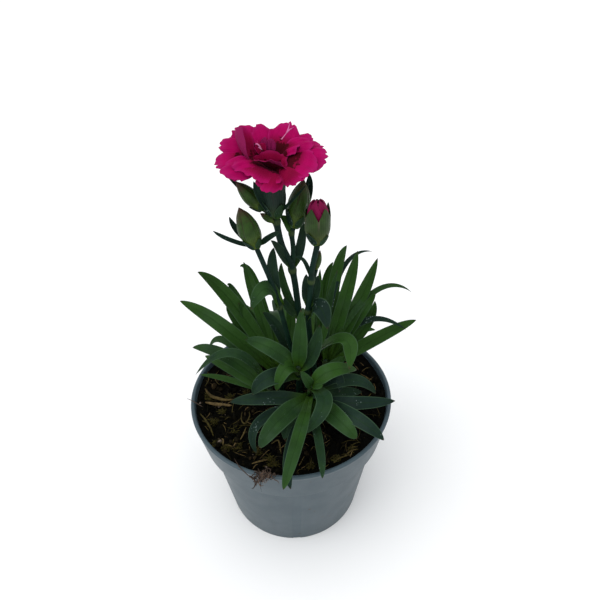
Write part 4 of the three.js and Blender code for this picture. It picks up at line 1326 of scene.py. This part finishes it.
def material(name, build, **sockets):
    """A material with one Principled shader. build returns its colour and what else varies."""
    made = bpy.data.materials.new(name)
    made.use_nodes = True
    nodes = Tree(made.node_tree)
    values = {**sockets, **build(nodes)}
    values["Base_Color"] = values.pop("Color")
    nodes.fill(made.node_tree.nodes["Principled BSDF"], **values)
    return made


def grouped(group_tree, strength, distance, **inputs):
    """Builds a finish from a group's colour, its height as a bump, and any roughness."""

    def build(nodes):
        made = nodes.use(group_tree, **inputs)
        results = {socket: made[socket] for socket in ("Color", "Roughness") if socket in made}
        return {**results, "Normal": nodes.bump(made["Height"], strength, distance)}

    return build


# --- shared effects


def build_mottle(nodes, place, scale, dark, light):
    """Cloudy lighter and darker patches."""
    return [nodes.step(nodes.noise(place, scale, 4.0, 0.6), 0.3, 0.7, dark, light)]


def build_specks(nodes, place, scale, amount, under, speck):
    """Small scattered spots of dust or residue, thicker in patches."""
    patches = nodes.step(nodes.noise(place, nodes.times(scale, 0.13)), 0.42, 0.68)
    size = nodes.times(nodes.times(patches, amount), 0.55)
    spot = nodes.step(nodes.math("SUBTRACT", size, nodes.cells(place, scale)), -0.04, 0.08)
    mask = nodes.times(spot, nodes.step(amount, 0.0, 0.1))
    return nodes.mix(mask, under, speck), mask


def build_fine_lines(nodes, across, along, count):
    """Parallel lines along a blade, a little uneven, from the place across it."""
    place = nodes.add("ShaderNodeCombineXYZ", across, along).outputs[0]
    uneven = nodes.plus(across, nodes.times(nodes.noise(place, 3.0), 0.1))
    return [nodes.scaled(nodes.math("SINE", nodes.times(uneven, count)), 0.5, 0.5)]


def build_blade(nodes, fresh, waxy, young, keel, back, edge, tip, residue):
    """Colours of a waxy leaf: its keel line, pale edges, young foot and greyer back.

    The waxy blue-green is darker and stands partly for painted shade. Faint pale patches
    are partly a haze of residue and partly painted sheen.
    """
    along, across, tone, upper = (nodes.mark(mark) for mark in MARKS)
    place = nodes.place()
    aside = nodes.math("ABSOLUTE", across)
    patchy = nodes.noise(place, 120.0)
    # The waxy blue-green is the leaf's own bloom and also painted shade on leaves given a high tone.
    wax_and_shade = nodes.step(nodes.plus(tone, nodes.scaled(patchy, 0.5, -0.25)), 0.15, 0.95)
    face = nodes.mix(wax_and_shade, fresh, waxy)
    face = nodes.mix(nodes.step(along, 0.02, 0.3, 0.85, 0.0), face, young)
    lines = nodes.fine_lines(across, along, 40.0)
    shade = nodes.times(nodes.mottle(place, 110.0, 0.86, 1.12), nodes.scaled(lines, 0.2, 0.9))
    face = nodes.shaded(face, shade)
    # Faint pale patches in the residue colour: partly a haze of residue, partly painted sheen.
    haze_and_sheen = nodes.step(nodes.noise(place, 70.0, 4.0), 0.5, 0.72, 0.0, 0.08)
    face = nodes.mix(haze_and_sheen, face, residue)
    face = nodes.mix(nodes.step(aside, 0.02, 0.12, 0.35, 0.0), face, keel)
    face = nodes.mix(nodes.step(upper, 0.4, 0.6, 0.75, 0.0), face, back)
    rim = nodes.times(nodes.step(aside, 0.86, 0.97), nodes.step(along, 0.1, 0.4, 0.2, 0.75))
    face = nodes.mix(rim, face, edge)
    face = nodes.mix(nodes.step(along, 0.955, 0.995, 0.0, 0.7), face, tip)
    amount = nodes.step(tone, 0.2, 1.0, 0.12, 0.6)
    dusty = nodes.use(SPECKS, Place=place, Scale=900.0, Amount=amount, Under=face, Speck=residue)
    rough = nodes.plus(nodes.step(wax_and_shade, 0.0, 1.0, 0.46, 0.62), nodes.times(dusty["Mask"], 0.25))
    return dusty["Color"], nodes.scaled(lines, 0.5, nodes.times(patchy, 0.5)), rough


def build_sepal(nodes, body, foot, tip, seam, blush):
    """Colours of a bud or calyx: a pale foot, a dark tip and dark seams towards the tip."""
    along, across = nodes.mark("along"), nodes.mark("across")
    place = nodes.place()
    skin = nodes.mix(nodes.step(along, 0.05, 0.5), foot, body)
    lines = nodes.fine_lines(across, along, 24.0)
    shade = nodes.times(nodes.mottle(place, 300.0, 0.75, 1.2), nodes.scaled(lines, 0.16, 0.92))
    skin = nodes.shaded(skin, shade)
    height = nodes.plus(along, nodes.times(nodes.noise(place, 350.0), 0.4))
    skin = nodes.mix(nodes.step(height, blush, nodes.plus(blush, 0.35), 0.0, 0.8), skin, tip)
    near_seam = nodes.step(nodes.math("ABSOLUTE", across), 0.8, 0.97)
    dark = nodes.times(near_seam, nodes.step(along, 0.35, 0.7, 0.0, 0.85))
    return nodes.mix(dark, skin, seam), lines


def build_petal_face(nodes, deep, heart, bright, pale, back):
    """Colours of a petal: dark jagged throat, magenta face and paler rim and back.

    The rim is partly the petal's own tint and partly painted sheen. A tone of 1 or more
    paints the whole face dark red as shade.
    """
    along, across, tone, upper = (nodes.mark(mark) for mark in MARKS)
    place = nodes.place()
    veins = nodes.fine_lines(across, along, 70.0)
    # A tone of 1 or more is painted shade: the whole face stays dark red and the rim dimmer.
    dark = nodes.math("FLOOR", tone)
    foot = nodes.scaled(nodes.math("SUBTRACT", tone, dark), 0.3, 0.3)
    start = nodes.scaled(dark, 0.5, foot)
    lit = nodes.step(along, nodes.scaled(dark, -0.15, start), nodes.plus(start, 0.25))
    shade = nodes.times(nodes.mottle(place, 200.0, 0.9, 1.08), nodes.scaled(veins, 0.06, 0.97))
    face = nodes.shaded(nodes.mix(lit, heart, bright), shade)
    # The paler rim is partly the petal's own mauve tint and partly painted sheen.
    outer = nodes.math("MAXIMUM", along, nodes.math("ABSOLUTE", across))
    rim = nodes.times(nodes.step(outer, 0.82, 1.0, 0.0, 0.5), nodes.scaled(dark, -0.5, 1.0))
    face = nodes.mix(rim, face, pale)
    face = nodes.mix(nodes.step(upper, 0.4, 0.6, 0.85, 0.0), face, back)
    jagged = nodes.plus(along, nodes.scaled(nodes.noise(place, 520.0, 2.0), 0.5, -0.25))
    throat = nodes.step(jagged, foot, nodes.plus(foot, 0.07), 1.0, 0.0)
    return nodes.mix(throat, face, deep), veins


def of_kind(kind, names):
    return dict.fromkeys(names.split(), kind)


COLOUR_AND_HEIGHT = {"Color": "Color", "Height": "Float"}
MOTTLE = group(
    "mottle", {"Place": "Vector", **of_kind("Float", "Scale Dark Light")}, {"Shade": "Float"},
    build_mottle,
)
SPECKS = group(
    "scattered specks",
    {"Place": "Vector", **of_kind("Float", "Scale Amount"), **of_kind("Color", "Under Speck")},
    {"Color": "Color", "Mask": "Float"}, build_specks,
)
FINE_LINES = group(
    "fine lines", of_kind("Float", "Across Along Count"), {"Height": "Float"}, build_fine_lines,
)
BLADE = group(
    "waxy blade", of_kind("Color", "Fresh Waxy Young Keel Back Edge Tip Residue"),
    {**COLOUR_AND_HEIGHT, "Roughness": "Float"}, build_blade,
)
SEPAL = group(
    "sepal", {**of_kind("Color", "Body Foot Tip Seam"), "Blush": "Float"}, COLOUR_AND_HEIGHT,
    build_sepal,
)
PETAL_FACE = group(
    "petal face", of_kind("Color", "Deep Heart Face Rim Back"), COLOUR_AND_HEIGHT,
    build_petal_face,
)

# --- finishes


def stem_finish(nodes):
    """Blue-green stem with paler yellowish knots."""
    place = nodes.place()
    skin = nodes.mix(nodes.mark("along"), (0.0045, 0.020, 0.0095), (0.0035, 0.0165, 0.0115))
    skin = nodes.shaded(skin, nodes.mottle(place, 240.0, 0.75, 1.2))
    skin = nodes.mix(nodes.step(nodes.mark("tone"), 0.35, 0.95, 0.0, 0.7), skin, (0.042, 0.066, 0.020))
    return {"Color": skin, "Normal": nodes.grain(nodes.flattened(place, 0.12), 1500.0, 0.25, 0.0002)}


def streak_finish(nodes):
    return {"Color": nodes.mix(nodes.mark("along"), (0.56, 0.26, 0.36), (0.55, 0.12, 0.33))}


def pot_finish(nodes):
    """Satin moulded plastic with faint streaks, scuffs and splashes of soil dust."""
    place = nodes.place()
    streaks = nodes.noise(nodes.flattened(place, 0.06), 260.0, 4.0)
    shade = nodes.times(nodes.mottle(place, 30.0, 0.97, 1.03), nodes.step(streaks, 0.3, 0.7, 0.96, 1.04))
    skin = nodes.shaded((0.042, 0.068, 0.083), shade)
    dusty = nodes.use(
        SPECKS, Place=place, Scale=170.0, Amount=0.3, Under=skin, Speck=(0.045, 0.040, 0.032),
    )
    rough = nodes.step(nodes.noise(place, 90.0), 0.3, 0.7, 0.42, 0.48)
    normal = nodes.grain(place, 2600.0, 0.12, 0.0002, 2.0)
    return {"Color": dusty["Color"], "Roughness": rough, "Normal": normal}


def soil_finish(nodes):
    """Damp black-brown peat, paler where crumbs have dried."""
    place = nodes.place()
    patches = nodes.noise(place, 330.0, 5.0)
    earth = nodes.mix(patches, (0.0005, 0.0007, 0.0005), (0.0025, 0.0022, 0.001))
    dry = nodes.step(nodes.noise(place, 140.0, 4.0), 0.6, 0.74, 0.0, 0.6)
    rough = nodes.step(nodes.noise(place, 500.0, 2.0), 0.3, 0.7, 0.6, 0.95)
    normal = nodes.grain(place, 1600.0, 0.8, 0.0006, 5.0)
    earth = nodes.mix(dry, earth, (0.007, 0.006, 0.0026))
    return {"Color": earth, "Roughness": rough, "Normal": normal}


def crumb_finish(nodes):
    """Peat crumbs through bark to pale stones, by their tone."""
    place = nodes.place()
    crumb = nodes.ramp(
        nodes.mark("tone"), (0.0007, 0.0007, 0.0005), (0.0, 0.4, (0.006, 0.005, 0.0023)),
        (0.4, 0.72, (0.055, 0.038, 0.018)), (0.85, 1.0, (0.14, 0.11, 0.09)),
    )
    crumb = nodes.shaded(crumb, nodes.mottle(place, 900.0, 0.5, 1.3))
    return {"Color": crumb, "Normal": nodes.grain(place, 2200.0, 0.7, 0.0004)}


def fibre_finish(nodes):
    """Straw from dark brown through olive to tan, by its tone."""
    place = nodes.place()
    straw = nodes.ramp(
        nodes.mark("tone"), (0.006, 0.005, 0.0015),
        (0.05, 0.5, (0.042, 0.034, 0.007)), (0.5, 0.95, (0.115, 0.078, 0.032)),
    )
    straw = nodes.shaded(straw, nodes.mottle(place, 700.0, 0.5, 1.3))
    return {"Color": straw, "Normal": nodes.grain(place, 3000.0, 0.5, 0.0002, 2.0)}


def moss_finish(nodes):
    blade = nodes.mix(nodes.mark("tone"), (0.010, 0.009, 0.002), (0.052, 0.044, 0.008))
    end = nodes.step(nodes.mark("along"), 0.5, 1.0, 0.0, 0.6)
    return {"Color": nodes.mix(end, blade, (0.07, 0.065, 0.014))}


def dry_finish(nodes):
    return {"Color": nodes.mix(nodes.mark("tone"), (0.010, 0.006, 0.005), (0.115, 0.08, 0.06))}


VELVET = {"Sheen_Weight": 0.04, "Sheen_Roughness": 0.4, "Sheen_Tint": (1.0, 0.4, 0.8)}
# A finish is (name, roughness where that is even, specular level, what varies over it),
# and further values where it has some.
FINISH_ROWS = {
    # Waxy is a darker blue-green: the leaves' own waxy bloom, also used as painted shade.
    "leaf": ("waxy leaf", None, 0.08, grouped(
        BLADE, 0.35, 0.0002,
        Fresh=(0.021, 0.062, 0.0095), Waxy=(0.0075, 0.0205, 0.0145), Young=(0.030, 0.075, 0.004),
        Keel=(0.010, 0.034, 0.005), Back=(0.016, 0.038, 0.024), Edge=(0.045, 0.088, 0.045),
        # The residue colour is pale dust in the specks and, in faint patches, painted sheen.
        Tip=(0.04, 0.028, 0.016), Residue=(0.09, 0.125, 0.115),
    )),
    "stem": ("blue-green stem", 0.5, 0.09, stem_finish),
    "bud": ("closed bud", 0.42, 0.15, grouped(
        SEPAL, 0.3, 0.0002, Blush=0.86, Body=(0.0205, 0.051, 0.0065), Foot=(0.066, 0.1, 0.015),
        Tip=(0.045, 0.010, 0.014), Seam=(0.03, 0.010, 0.010),
    )),
    "calyx": ("calyx", 0.5, 0.14, grouped(
        SEPAL, 0.3, 0.0002, Blush=1.1, Body=(0.010, 0.022, 0.016), Foot=(0.030, 0.050, 0.018),
        Tip=(0.03, 0.055, 0.015), Seam=(0.02, 0.02, 0.016),
    )),
    "open_bud": ("opening bud", 0.42, 0.16, grouped(
        SEPAL, 0.3, 0.0002, Blush=1.2, Body=(0.0195, 0.044, 0.0075), Foot=(0.056, 0.072, 0.015),
        Tip=(0.03, 0.06, 0.03), Seam=(0.13, 0.08, 0.07),
    )),
    # Rim is the petal's paler mauve edge: partly its own tint and partly painted sheen.
    "petal": ("velvet petal", 0.7, 0.05, grouped(
        PETAL_FACE, 0.3, 0.00015, Deep=(0.05, 0.0, 0.004), Heart=(0.19, 0.0, 0.028),
        Face=(0.33, 0.0, 0.076), Rim=(0.36, 0.012, 0.13), Back=(0.20, 0.010, 0.07),
    ), VELVET),
    "streak": ("petal streak", 0.7, 0.1, streak_finish),
    "bud_petal": ("rolled petal", 0.6, 0.1, grouped(
        PETAL_FACE, 0.3, 0.00015, Deep=(0.06, 0.0, 0.015), Heart=(0.15, 0.0, 0.03),
        Face=(0.20, 0.001, 0.05), Rim=(0.25, 0.010, 0.08), Back=(0.155, 0.003, 0.04),
    ), VELVET),
    "pot": ("satin pot plastic", None, 0.35, pot_finish),
    "soil": ("damp peat", None, 0.04, soil_finish),
    "crumb": ("peat crumbs", 0.9, 0.04, crumb_finish),
    "fibre": ("coir fibre", 0.75, 0.12, fibre_finish),
    "moss": ("moss leaf", 0.7, 0.1, moss_finish),
    "dry": ("dry fibre", 0.85, 0.1, dry_finish),
}
FINISHES = {}


def make_finishes():
    for key, (name, roughness, specular, build, *more) in FINISH_ROWS.items():
        values = {"Specular_IOR_Level": specular}
        if roughness:
            values["Roughness"] = roughness
        for further in more:
            values.update(further)
        FINISHES[key] = material(name, build, **values)


def make_plant():
    draw = random.Random(SEED)
    make_pot()
    make_soil()
    for name, (foot, top, leaves) in SHOOTS.items():
        make_shoot(name, draw, foot, top, leaves)
    for name, (foot, *rule) in BACK_SHOOTS.items():
        make_shoot(name, draw, foot, (*foot, BACK_TOP), back_leaves(draw, foot, *rule))
    make_main_stem(draw)
    make_left_stem(draw)
    make_right_stem(draw)
    make_bloom()
    make_opening_petals()
    make_crumbs(draw)
    make_fibres(draw)
    make_moss(draw)
    make_dry_tuft(draw)


# --- stage

CAMERA_PLACE = Vector((0.0, -0.1864, 0.2849))
CAMERA_FORWARD = Vector((0.0245, 0.7904, -0.6121))
CAMERA_UP = Vector((0.0401, 0.611, 0.7906))
CAMERA_LENS = 30.96
CAMERA_SENSOR = 36
FLOOR_HALF = 6.0
FLOOR_WHITE = 0.92
SKY_COLOUR = (0.96, 0.98, 1.0)
SKY_STRENGTH = 0.8
# A sun is (name, direction that it comes from, spread in degrees, strength).
SUNS = [("overhead", (-0.2, -0.3, 1.0), 70, 1.2), ("left", (-0.9, -0.3, 0.8), 45, 0.5)]


def make_camera():
    data = bpy.data.cameras.new("camera")
    data.sensor_width = CAMERA_SENSOR
    data.lens = CAMERA_LENS
    camera = in_scene("camera", data)
    right = CAMERA_FORWARD.cross(CAMERA_UP).normalized()
    up = right.cross(CAMERA_FORWARD).normalized()
    turn = Matrix((right, up, -CAMERA_FORWARD.normalized())).transposed()
    camera.matrix_world = Matrix.Translation(CAMERA_PLACE) @ turn.to_4x4()
    bpy.context.scene.camera = camera


def make_floor():
    mesh = bpy.data.meshes.new("floor")
    corners = [(x * FLOOR_HALF, y * FLOOR_HALF, 0) for x, y in ((-1, -1), (1, -1), (1, 1), (-1, 1))]
    mesh.from_pydata(corners, [], [(0, 1, 2, 3)])
    white = (FLOOR_WHITE,) * 3
    mesh.materials.append(material("pale floor", lambda nodes: {"Color": white}, Roughness=0.9))
    in_scene("floor", mesh)


def make_sun(name, towards, spread, strength):
    """Wide soft light that comes from a direction, with its spread in degrees."""
    data = bpy.data.lights.new(name, "SUN")
    data.angle = math.radians(spread)
    data.energy = strength
    in_scene(name, data).rotation_euler = Vector(towards).to_track_quat("Z", "Y").to_euler()


def make_sky():
    world = bpy.data.worlds.new("studio")
    world.use_nodes = True
    background = world.node_tree.nodes["Background"]
    background.inputs["Color"].default_value = (*SKY_COLOUR, 1.0)
    background.inputs["Strength"].default_value = SKY_STRENGTH
    bpy.context.scene.world = world


def make_stage():
    make_camera()
    make_floor()
    for sun in SUNS:
        make_sun(*sun)
    make_sky()
    bpy.context.scene.view_settings.view_transform = "Standard"


make_stage()
make_finishes()
make_plant()
